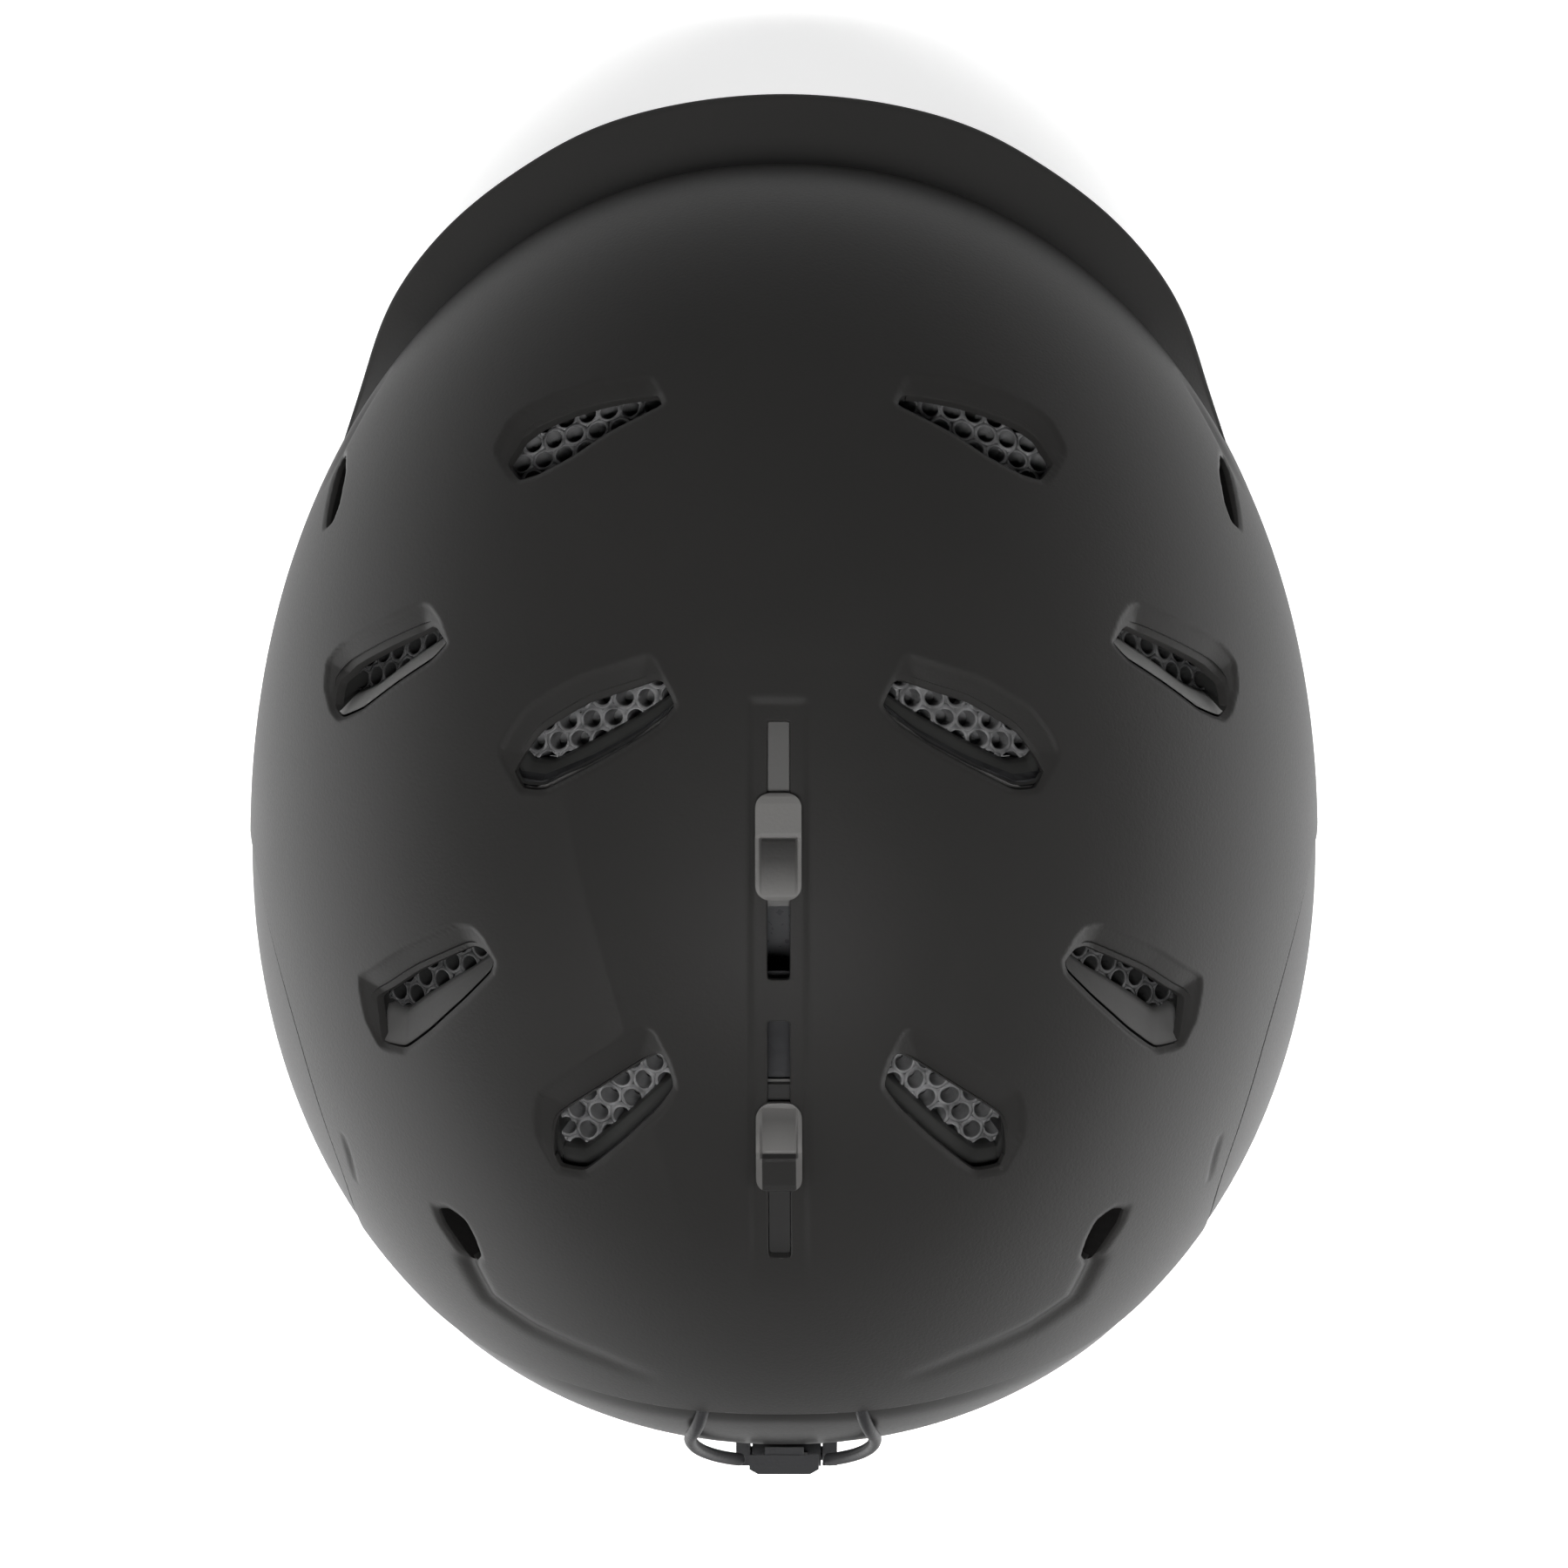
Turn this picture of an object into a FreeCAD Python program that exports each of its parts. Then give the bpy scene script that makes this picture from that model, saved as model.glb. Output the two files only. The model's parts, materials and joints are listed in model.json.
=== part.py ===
import FreeCAD, Part
import os
from math import sin, cos, radians, atan2, hypot, pi

V = FreeCAD.Vector
os.makedirs("parts", exist_ok=True)

# ---------------------------------------------------------------- driving sizes, mm
# The helmet faces -Y, +Z is up, its left side is +X. Z = 0 is the flat the ear pads stand on.
half_w = 111.0            # dome half width
mid_y = 12.0              # Y of the widest section
front_len = 141.0         # dome length ahead of the widest section
rear_len = 125.3          # dome length behind it
wide_z = 95.0             # height of the widest level
crown_h = 100.0           # crown above that level
lower_h = 170.0           # tuck-in of the dome below that level
power = 2.1               # roundness of the dome
shell_t = 2.2             # outer shell wall
foam_out, foam_in = 2.6, 27.0        # foam liner, depth below the outer surface
comb_out, comb_in = 9.0, 26.0        # tube blocks in the foam windows
slip_out, slip_in = 27.6, 28.4       # low friction liner
pad_out, pad_in = 28.9, 35.5         # comfort pads
seam = 0.4                # gap between outer shell pieces
trim_h = 2.6              # height of the rubber rim trim
track_gap = 0.35          # running clearance of the vent sliders
slide_run = 16.0          # travel of a vent slider along its track
rim = [(-165, 94), (-135, 90), (-100, 86), (-60, 80), (-40, 73.5), (-22, 70.5), (8, 70), (33, 69.5),
       (52, 61), (72, 49), (98, 40.5), (137, 38), (165, 38)]

# Vent openings of the left half, in plan: (X, Y) on the outer surface.
vent_front = [(25, -80.2), (35.3, -79.1), (42.6, -77.1), (49.8, -74.2), (53.5, -71.5), (56.5, -65.7),
              (53.8, -62.1), (49.8, -63.3), (42.6, -67), (35.3, -72), (28.1, -75.7), (23.9, -77.8)]
vent_side = [(89.3, -24.9), (72.1, -32.9), (70.7, -32.2), (68.3, -28.9), (71.6, -25.3), (78.8, -20.7),
             (86.1, -15.3), (90.6, -13.5), (92.4, -15.9), (92.2, -21.5)]
vent_mid = [(49.1, -11.1), (39, -17.1), (31.7, -19.3), (25, -21.5), (23.6, -21.3), (20.8, -15.9),
            (24.5, -11.7), (31.7, -7.2), (39, -3.2), (48, 1.4), (52.6, 1), (54.4, -2.6), (52.6, -6.3)]
vent_rear_side = [(80.8, 41.8), (75.2, 38.1), (63.4, 32.9), (60.7, 33.6), (58.5, 36), (58.9, 38.5),
                  (64.3, 43.9), (71.6, 50.5), (77, 54.5), (82.4, 53.2), (84.3, 43.6)]
vent_rear = [(46.6, 70.8), (45.8, 68), (42.6, 65.7), (28.1, 56.6), (24.5, 54.8), (23, 55.9),
             (21.2, 61.7), (24.5, 66.2), (31.7, 72.9), (39.9, 79.5), (45.3, 78.5), (46.6, 75.3)]
# How far each vent's throat leans on its way in, over the first 9 mm: (outwards, rearwards).
slants = {"front": (2.0, -4.5), "side": (3.0, -5.6), "mid": (0.0, -8.4), "rear_side": (3.4, -4.2), "rear": (0.2, -1.7)}
throat = 9.0
slot_front = [(90.6, -68.4), (90.4, -64.2), (91.5, -57.9), (92.8, -54.3), (94.6, -52.6), (94.3, -56.5),
              (93.3, -62.4), (91.9, -68.2)]
slot_rear = [(71.0, 87.4), (68.3, 87.3), (64.7, 89.8), (62.9, 93.4), (61.6, 97.2), (62.9, 98.5),
             (64.7, 98.1), (67.4, 94.3), (69.8, 90.7)]


def level(x, y, z, t):
    """Below 1 inside the dome whose surface lies t below the outer one."""
    length = (front_len if y < mid_y else rear_len) - t
    height = (crown_h if z > wide_z else lower_h) - t
    return ((abs(x) / (half_w - t)) ** power + (abs(y - mid_y) / length) ** power
            + (abs(z - wide_z) / height) ** power)


def reach(inside, far=400.0):
    """Largest distance for which inside() holds."""
    near = 0.0
    for _ in range(48):
        middle = (near + far) / 2
        if inside(middle):
            near = middle
        else:
            far = middle
    return near


def top(x, y, t=0.0):
    return wide_z + reach(lambda h: level(x, y, wide_z + h, t) < 1)


def normal(x, y, z, t=0.0):
    d = 0.01
    g = V(level(x + d, y, z, t) - level(x - d, y, z, t), level(x, y + d, z, t) - level(x, y - d, z, t),
          level(x, y, z + d, t) - level(x, y, z - d, t))
    return g.normalize()


# ---------------------------------------------------------------- solids the pieces are cut from
fan_y, fan_z, fan_from, fan_to, fan_steps, arch_steps = 12.0, 55.0, -8.0, 206.0, 14, 16


def dome(t, core=12.0, spread=0.0):
    """Dome lofted over planes that fan about a crosswise axis at (fan_y, fan_z)."""
    wires = []
    for i in range(fan_steps + 1):
        a = radians(fan_from - spread + (fan_to - fan_from + 2 * spread) * i / fan_steps)
        dy, dz = -cos(a), sin(a)
        half = reach(lambda x: level(x, fan_y + core * dy, fan_z + core * dz, t) < 1)
        low = atan2(core, half)
        points = []
        for k in range(arch_steps + 1):
            b = low + (pi - 2 * low) * k / arch_steps
            r = reach(lambda s: level(s * cos(b), fan_y + s * sin(b) * dy, fan_z + s * sin(b) * dz, t) < 1)
            points.append(V(r * cos(b), fan_y + r * sin(b) * dy, fan_z + r * sin(b) * dz))
        arch = Part.BSplineCurve()
        arch.interpolate(points)
        wires.append(Part.Wire([arch.toShape(), Part.makeLine(points[-1], points[0])]))
    return Part.makeLoft(wires, True, False)


def layer(outer, inner):
    return dome(outer).cut(dome(inner, 7.0, 2.0))


def prism(points, move, smooth=False):
    """Closed outline pushed along move."""
    pts = [V(*p) for p in points]
    if smooth:
        curve = Part.BSplineCurve()
        curve.interpolate(pts, PeriodicFlag=True)
        wire = Part.Wire(curve.toShape())
    else:
        wire = Part.makePolygon(pts + [pts[0]])
    return Part.Face(wire).extrude(V(*move))


def block(x0, x1, y0, y1, z0, z1):
    return Part.makeBox(x1 - x0, y1 - y0, z1 - z0, V(x0, y0, z0))


def grown(points, d):
    """Outline of a star-shaped plan figure moved outwards by d from its middle."""
    cx = sum(p[0] for p in points) / len(points)
    cy = sum(p[1] for p in points) / len(points)
    out = []
    for x, y in points:
        r = hypot(x - cx, y - cy)
        out.append((x + (x - cx) / r * d, y + (y - cy) / r * d))
    return out


def vent_tool(points, grow=0.0, above=14.0, below=40.0, slant=(0.0, 0.0)):
    """Throat that meets the outer surface over the plan outline, leans by slant, then runs straight inwards."""
    plan = grown(points, grow) if grow else points
    cx = sum(p[0] for p in points) / len(points)
    cy = sum(p[1] for p in points) / len(points)
    centre = V(cx, cy, top(cx, cy))
    n = normal(centre.x, centre.y, centre.z)
    lean = V(slant[0], slant[1], 0)
    down = (lean - n * lean.dot(n)) * (1 / throat) - n
    flat = []
    for x, y in plan:
        x_in = min(x, reach(lambda s: level(s, y, wide_z, 0) < 1) - 0.3)
        p = V(x_in, y, top(x_in, y))
        flat.append(p - down * (above - (p - centre).dot(n)))
    face = Part.Face(Part.makePolygon(flat + [flat[0]]))
    if slant == (0.0, 0.0):
        return face.extrude(n * -(above + below)), centre, n
    deep = face.copy()
    deep.translate(down * (above + throat - 0.5))
    tool = face.extrude(down * (above + throat)).fuse(deep.extrude(n * -(below - throat + 0.5)))
    return tool, centre + (down + n) * throat, n


def mirrored(shape):
    return shape.mirror(V(0, 0, 0), V(1, 0, 0))


def rim_region(lift):
    """Everything above the rim line raised by lift."""
    curve = Part.BSplineCurve()
    curve.interpolate([V(-135, y, z + lift) for y, z in rim])
    first, last = V(-135, rim[0][0], rim[0][1] + lift), V(-135, rim[-1][0], rim[-1][1] + lift)
    wire = Part.Wire([curve.toShape(), Part.makeLine(last, V(-135, last.y, 260)),
                      Part.makeLine(V(-135, last.y, 260), V(-135, first.y, 260)),
                      Part.makeLine(V(-135, first.y, 260), first)])
    return Part.Face(wire).extrude(V(270, 0, 0))


def sector(y, z, at, r0, r1, from_y, to_y, x0, x1):
    """Curved bar about a crosswise axis at (y, z), between two Y positions read at radius `at`."""
    a0, a1 = [atan2((at * at - (v - y) ** 2) ** 0.5, v - y) for v in (from_y, to_y)]
    corners = [V(x, y + r * cos(a0), z + r * sin(a0)) for r, x in ((r0, x0), (r1, x0), (r1, x1), (r0, x1))]
    face = Part.Face(Part.makePolygon(corners + corners[:1]))
    return face.revolve(V(0, y, z), V(1, 0, 0), (a1 - a0) * 180 / pi)


def one(shape):
    """The largest solid of a result."""
    return max(shape.Solids, key=lambda s: s.Volume)


def save(name, shape):
    solids = [s for s in shape.Solids if s.Volume > 0.5]
    body = solids[0] if len(solids) == 1 else Part.makeCompound(solids)
    if not body.isValid():
        print("INVALID", name)
    body.exportStep("parts/" + name + ".step")
    b = body.BoundBox
    print("%-24s solids %d vol %8.1f  x %.1f..%.1f y %.1f..%.1f z %.1f..%.1f" % (
        name, len(solids), sum(s.Volume for s in solids) / 1000, b.XMin, b.XMax, b.YMin, b.YMax, b.ZMin,
        b.ZMax))


# ---------------------------------------------------------------- vent sliders
# Each slider runs on an arc about a crosswise axis: (axis y, axis z, track radius).
front_axis = (12.0, 38.4, 156.4)
rear_axis = (15.6, 54.4, 141.2)
front_slot, front_knob = (-13.1, 40.0), (1.9, 23.6)
rear_slot, rear_knob = (48.1, 97.0), (64.6, 82.5)
slot_half, knob_half, channel_half = 2.5, 4.9, 5.7


def arc_cut(axis, r0, r1, ys, half):
    return sector(axis[0], axis[1], axis[2], r0, r1, ys[0], ys[1], -half, half)


def track(axis, slot):
    r = axis[2]
    plate = arc_cut(axis, r - 2.4, r - 1.2, (slot[0] - 3.0, slot[1] + 3.0), channel_half - 0.3)
    return plate.cut(arc_cut(axis, r - 4, r, slot, slot_half))


def knob(axis, span, turned):
    """Thumb piece with a flat plateau and a scooped ramp, its neck passing the slot."""
    r = axis[2]
    y0, y1 = span
    length = y1 - y0
    heights = [(0.0, -0.75), (0.0, 1.5), (0.06, 2.6), (0.38, 3.0), (0.46, 1.5), (0.8, 0.9), (0.94, 1.3),
               (1.0, 0.8), (1.0, -0.75)]
    if turned:
        heights = [(1 - a, h) for a, h in heights][::-1]
    pts = []
    for share, h in heights:
        dy = y0 + share * length - axis[0]
        a = atan2((r * r - dy * dy) ** 0.5, dy)
        pts.append((-knob_half, axis[0] + (r + h) * cos(a), axis[1] + (r + h) * sin(a)))
    body = prism(pts, (2 * knob_half, 0, 0))
    neck = arc_cut(axis, r - 3.0, r + 0.2, (y0 + 4, y1 - 4), slot_half - track_gap)
    return body.fuse(neck)


def carrier(axis, strip, span):
    """Strip that fills the slot, on a wider runner under the track."""
    r = axis[2]
    lane = arc_cut(axis, r - 3.0, r - 1.35, strip, slot_half - track_gap)
    runner = arc_cut(axis, r - 4.0, r - 2.8, span, channel_half - 0.9)
    return lane.fuse(runner)


def lid_radius(axis, x, y0, y1):
    """Largest radius about the slider axis that stays under the shell between two Y positions."""
    best = 1e9
    steps = 12
    for i in range(steps + 1):
        y = y0 + (y1 - y0) * i / steps
        best = min(best, hypot(y - axis[0], top(x, y, shell_t + 0.35) - axis[1]))
    return best


def turned_band(axis, y0, y1, half, drop, thick, grow=0.0):
    """Sheet turned about the slider axis, a fixed depth under the shell over its whole travel."""
    xs = [half * k / 6 for k in range(-6, 7)]
    radii = [min(lid_radius(axis, x, y0 - slide_run, y1 + slide_run), axis[2] - 4.3 + grow) for x in xs]
    upper = Part.BSplineCurve()
    upper.interpolate([V(x, axis[0], axis[1] + r - drop) for x, r in zip(xs, radii)])
    lower = Part.BSplineCurve()
    lower.interpolate([V(x, axis[0], axis[1] + r - drop - thick) for x, r in zip(xs, radii)][::-1])
    u, w = upper.toShape(), lower.toShape()
    a, b = V(xs[-1], axis[0], axis[1] + radii[-1] - drop), V(xs[0], axis[0], axis[1] + radii[0] - drop)
    down = V(0, 0, -thick)
    wire = Part.Wire([u, Part.makeLine(a, a + down), w, Part.makeLine(b + down, b)])
    face = Part.Face(wire)
    r = axis[2]
    a0, a1 = [atan2((r * r - (v - axis[0]) ** 2) ** 0.5, v - axis[0]) - pi / 2 for v in (y0, y1)]
    start = face.rotated(V(0, axis[0], axis[1]), V(1, 0, 0), a0 * 180 / pi)
    return start.revolve(V(0, axis[0], axis[1]), V(1, 0, 0), (a1 - a0) * 180 / pi)


def plan_cut(points, z0=60, z1=230):
    return prism([(x, y, z0) for x, y in points], (0, 0, z1 - z0))


def both(points):
    """Plan outline mirrored and joined across X = 0; points run from the centre line outwards and back."""
    return points + [(-x, y) for x, y in points[::-1]]


front_lid_plan = both([(0, -47), (24, -44), (57, -35), (59, 4), (30, 1), (8, -10), (4.5, -10), (4.5, 20),
                       (0, 20)])
rear_lid_plan = both([(0, 68), (4.5, 68), (8, 79), (18, 82), (36, 96), (50, 97), (50, 68), (24, 52),
                      (18, 53), (8, 62), (4.5, 60), (0, 60)])
lid_depth, lid_t = 0.35, 1.2


def lid(axis, y0, y1, half, outline, window, slant):
    """Shutter blade with a window under each of its two vents, placed where their throats pass it."""
    blade = turned_band(axis, y0, y1, half, lid_depth, lid_t).common(plan_cut(outline))
    for depth in (2.5, 4.8):
        dx, dy = slant[0] * depth / throat, slant[1] * depth / throat
        for side in (1, -1):
            blade = blade.cut(plan_cut([(side * (x + dx), y + dy) for x, y in grown(window, 2.0)]))
    return one(blade)


def lid_pocket(axis, y0, y1, half, outline):
    """Room in the foam for a lid over its whole travel."""
    low = turned_band(axis, y0, y1, half, lid_depth + lid_t + 0.5, 60)
    return plan_cut(outline, 120).cut(low)


# ---------------------------------------------------------------- outer shell and its openings
side_outline = [(-22, 40), (-4, 80), (4, 91), (9, 97), (15, 114), (31, 125), (49, 130), (65, 128),
                (80, 122), (88, 112), (93, 96), (96, 78), (98, 30)]
side_panel_form = prism([(-135, y, z) for y, z in side_outline], (270, 0, 0))
panel_wire = Part.makePolygon([V(-135, y, z) for y, z in side_outline + side_outline[:1]])
side_cut_form = Part.Face(panel_wire.makeOffset2D(seam, 2)).extrude(V(270, 0, 0))
arch = [(-100, 70), (-88, 86), (-75, 98), (-54, 117), (-30, 127), (0, 131), (30, 127), (54, 117), (75, 98),
        (88, 86), (100, 70)]


def rear_form(drop, y0):
    curve = Part.BSplineCurve()
    curve.interpolate([V(x, y0, z - drop) for x, z in arch])
    a, b = V(100, y0, arch[-1][1] - drop), V(-100, y0, arch[0][1] - drop)
    wire = Part.Wire([curve.toShape(), Part.makeLine(a, V(100, y0, 20)),
                      Part.makeLine(V(100, y0, 20), V(-100, y0, 20)), Part.makeLine(V(-100, y0, 20), b)])
    return Part.Face(wire).extrude(V(0, 160 - y0, 0))


shell = layer(0, shell_t).common(rim_region(trim_h + seam))
vents = {"front": vent_front, "side": vent_side, "mid": vent_mid, "rear_side": vent_rear_side, "rear": vent_rear}
openings = [vent_tool(v, slant=slants[name])[0] for name, v in vents.items()] + [vent_tool(slot_rear)[0]]
openings.append(vent_tool(slot_front)[0])
channel = arc_cut(front_axis, front_axis[2] - 8, front_axis[2] + 12, (-16.8, 44.0), channel_half).fuse(
    arc_cut(rear_axis, rear_axis[2] - 8, rear_axis[2] + 12, (43.0, 101.0), channel_half))
pins = [(-62.0, -109.0), (0.0, -128.6), (62.0, -109.0)]
pin_tools = []
pin_level = 93.5
for px, py in pins:
    n = normal(px, py, pin_level)
    length = reach(lambda s: level(px - n.x * s, py - n.y * s, pin_level - n.z * s, 0) > 1, 60)
    pin_tools.append(Part.makeCylinder(1.3, 10, V(px, py, pin_level) - n * (length + 7.5), n))

top_shell = shell.cut(side_cut_form).cut(rear_form(-seam, 96 - seam)).cut(channel)
for tool in openings:
    top_shell = top_shell.cut(tool).cut(mirrored(tool))
for tool in pin_tools:
    top_shell = top_shell.cut(tool)
save("top_shell", one(top_shell))

side_panel = shell.common(side_panel_form).cut(rear_form(-seam, 96 - seam)).common(
    block(0, 130, -60, 110, 0, 200))
save("side_panel_left", one(side_panel))
save("side_panel_right", mirrored(one(side_panel)))
rear_panel = shell.common(rear_form(0, 96)).cut(side_cut_form)

# Rubber trim round the whole rim.
trim = layer(-0.5, 2.9).common(rim_region(0)).cut(rim_region(trim_h))
save("rim_trim", one(trim))

# ---------------------------------------------------------------- brim
brim_plan = [(0, -143.6), (32.5, -139), (52, -130), (64.7, -121), (73.9, -112), (80.6, -102.8), (84.8, -93.8),
             (87.7, -84.7), (90.6, -75.7), (93.6, -66.6), (93.0, -58)]
brim_edge = brim_plan[::-1] + [(-x, y) for x, y in brim_plan[1:]]
curve = Part.BSplineCurve()
curve.interpolate([V(x, y, 60) for x, y in brim_edge])
back = Part.makePolygon([V(-93.0, -58, 60), V(0, -50, 60), V(93.0, -58, 60)])
brim_prism = Part.Face(Part.Wire([curve.toShape()] + back.Edges)).extrude(V(0, 0, 60))
brim_side = [(-150, 92.0), (-135, 93.0), (-100, 89.2), (-60, 83.4), (-60, 84.6), (-80, 91), (-100, 95.5),
             (-128, 100.5), (-138, 98.0), (-150, 95.0)]
brim = brim_prism.common(prism([(-120, y, z) for y, z in brim_side], (240, 0, 0)))
brim = brim.cut(dome(-0.3, 7.0, 2.0))
for tool in pin_tools:
    brim = brim.cut(tool)
save("brim", one(brim))
save("brim_pins", Part.makeCompound(pin_tools))

# ---------------------------------------------------------------- goggle clip
clip_y, clip_low = 140.9, 46.0          # hinge line of the tongue
clip_top = 95.0
pivot = V(0, clip_y, clip_low)


def clip_arm(side):
    """Round arm that comes out under the shell's rear edge, runs down over the rear panel and turns in."""
    path = []
    for x, z, off in ((16.4, 128.0, -1.6), (17.4, 124.5, 1.6), (18.6, 119.0, 2.1), (18.4, 111.0, 2.1),
                      (16.6, 103.0, 2.5), (13.0, 96.5, 3.2), (9.2, 93.0, 3.6)):
        y = reach(lambda s: level(x, mid_y + s, z, 0) < 1) + mid_y
        path.append(V(side * x, y, z) + normal(side * x, y, z) * off)
    curve = Part.BSplineCurve()
    curve.interpolate(path)
    spine = Part.Wire([curve.toShape()])
    start = curve.tangent(curve.FirstParameter)[0]
    ring = Part.Wire([Part.makeCircle(1.35, path[0], start)])
    return spine.makePipeShell([ring], True, False).fuse(Part.makeSphere(1.35, path[-1]))


mount_pad = block(-18.8, 18.8, 124, 133.4, 41.5, 52)
ears = [block(x0, x1, 132.0, 143.4, 42.4, 50.4) for x0, x1 in ((-10.6, -7.6), (7.6, 10.6))]
bracket = mount_pad.fuse(ears).cut(dome(-0.2, 7.0, 2.0))
shaft = Part.makeCylinder(1.5, 21.2, V(-10.6, clip_y, clip_low), V(1, 0, 0))
bracket = bracket.cut(shaft)
arms = [clip_arm(s) for s in (1, -1)]
screws = [Part.makeCylinder(1.5, 9.5, V(x, 134.2, 46.5), V(0, -1, 0)).fuse(
    Part.makeCylinder(2.6, 1.2, V(x, 134.6, 46.5), V(0, -1, 0))) for x in (-14.6, 14.6)]
for s in screws:
    bracket = bracket.cut(s)
save("goggle_clip_bracket", Part.makeCompound([one(bracket)]))
save("goggle_clip_arms", Part.makeCompound([one(a) for a in arms]))
save("goggle_clip_screws", Part.makeCompound(screws))
save("goggle_clip_pin", shaft.common(block(-10.5, 10.5, 130, 150, 40, 55)))

barrel = Part.makeCylinder(2.7, 14.4, V(-7.2, clip_y, clip_low), V(1, 0, 0))
stem = block(-4.5, 4.5, 140.6, 143.4, clip_low, clip_top - 3.0)
wings = prism([(-7.2, 139.6, 88.5), (-7.2, 142.6, 88.5), (-5.4, 143.6, 88.5), (5.4, 143.6, 88.5),
               (7.2, 142.6, 88.5), (7.2, 139.6, 88.5)], (0, 0, clip_top - 88.5))
wings = wings.cut(block(-8, -4.5, 139, 141.9, 88, 93.3)).cut(block(4.5, 8, 139, 141.9, 88, 93.3))
nose = block(-4.0, 4.0, 138.0, 140.0, 91.6, clip_top - 0.4)
tongue = barrel.fuse([stem, wings, nose]).cut(shaft)
save("goggle_clip_tongue", one(tongue))

rear_panel = rear_panel.cut(Part.makeCompound(screws + arms))
save("rear_panel", one(rear_panel))

# ---------------------------------------------------------------- foam liner
foam = layer(foam_out, foam_in).common(rim_region(trim_h + 0.8))
windows = []
for name, outline in vents.items():
    tool, centre, n = vent_tool(outline, 2.2, slant=slants[name])
    windows.append((name, tool, centre, n))
    foam = foam.cut(tool).cut(mirrored(tool))
for outline in (slot_front, slot_rear):
    tool = vent_tool(outline, 0.8, 14, 12)[0]
    foam = foam.cut(tool).cut(mirrored(tool))
foam = foam.cut(arc_cut(front_axis, front_axis[2] - 6.0, front_axis[2] + 10, (-20, 46), channel_half + 0.8))
foam = foam.cut(arc_cut(rear_axis, rear_axis[2] - 6.0, rear_axis[2] + 10, (42, 105), channel_half + 0.8))
front_pocket = lid_pocket(front_axis, -48, 24, 60, both([(0, -50), (24, -47), (60, -38), (62, 24), (28, 21),
                                                         (7, 14), (7, 38), (0, 38)]))
rear_pocket = lid_pocket(rear_axis, 40, 99, 52, both([(0, 86), (8, 86), (20, 88), (36, 99), (52, 100), (52, 50),
                                                      (26, 35), (18, 36), (0, 40)]))
foam = foam.cut(front_pocket).cut(rear_pocket)
dial_y, dial_z, dial_r = 101.6, 38.5, 16.5
dial_room = Part.makeCylinder(dial_r + 2.5, 22, V(0, 96, dial_z), V(0, 1, 0))
foam = foam.cut(dial_room).cut(Part.makeCompound(screws + arms))
for tool in pin_tools:
    foam = foam.cut(tool)
strap_x, strap_t = 84.0, 1.6
anchors = []
for y in (-26.0, 50.0):
    z = 70 if y < 0 else 61.5
    anchors.append(block(strap_x - 1.2, strap_x + strap_t + 1.2, y - 9.5, y + 9.5, z - 4, z + 12))
snap_at = [(-14.0, 56.0), (28.0, 56.0)]
snaps = []
for y, z in snap_at:
    stud = Part.makeCylinder(2.6, 30, V(94.0, y, z - 4), V(0, 0, 1))
    snaps.append(stud.fuse(Part.makeCylinder(4.2, 2.0, V(94.0, y, z - 4), V(0, 0, 1))))
for tool in anchors + snaps:
    foam = foam.cut(tool).cut(mirrored(tool))
slip_studs = []
for x, y in ((58, -44), (-58, -44), (56, 76), (-56, 76)):
    p = V(x, y, top(x, y, foam_in))
    n = normal(x, y, p.z, foam_in)
    slip_studs.append(Part.makeCylinder(5.0, 1.7, p - n * 1.6, n * -1).fuse(
        Part.makeCylinder(1.7, 12, p - n * 2, n)))
for tool in slip_studs:
    foam = foam.cut(tool)
save("eps_liner", one(foam))

# Tube blocks: short parallel tubes side by side in each window.
cell, wall = 5.0, 0.45
for name, tool, centre, n in windows:
    fill = vent_tool(vents[name], 2.0, slant=slants[name])[0]
    comb = layer(comb_out, comb_in).common(fill)
    across = n.cross(V(0, 1, 0)).normalize()
    along = n.cross(across).normalize()
    holes = []
    for i in range(-6, 7):
        for j in range(-5, 6):
            at = centre + across * (cell * (i + 0.5 * (j % 2))) + along * (cell * 0.866 * j) + n * 5
            hole = Part.makeCylinder(cell / 2 - wall, 45, at, n * -1)
            probe = at - n * 22
            if fill.isInside(probe + across * 2.9, 0.01, True) and fill.isInside(
                    probe - across * 2.9, 0.01, True) and fill.isInside(probe + along * 2.9, 0.01, True) and (
                    fill.isInside(probe - along * 2.9, 0.01, True)):
                holes.append(hole)
    comb = comb.cut(Part.makeCompound(holes))
    save("honeycomb_" + name + "_left", one(comb))
    save("honeycomb_" + name + "_right", mirrored(one(comb)))

# ---------------------------------------------------------------- low friction liner
slip = layer(slip_out, slip_in).common(rim_region(trim_h + 9)).cut(dial_room)
for name, tool, centre, n in windows:
    slip = slip.cut(tool).cut(mirrored(tool))
for tool in slip_studs:
    slip = slip.cut(tool)
slip = slip.cut(Part.makeCompound(anchors)).cut(mirrored(Part.makeCompound(anchors)))
save("slip_liner", one(slip))
save("slip_liner_studs", Part.makeCompound(slip_studs))

# ---------------------------------------------------------------- comfort pads
pad = layer(pad_out, pad_in)


def plan_pad(points, z0=96, z1=200):
    form = prism([(x, y, z0) for x, y in points], (0, 0, z1 - z0), True)
    return pad.common(block(-70, 70, -60, 80, z0, z1)).common(form)


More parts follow.
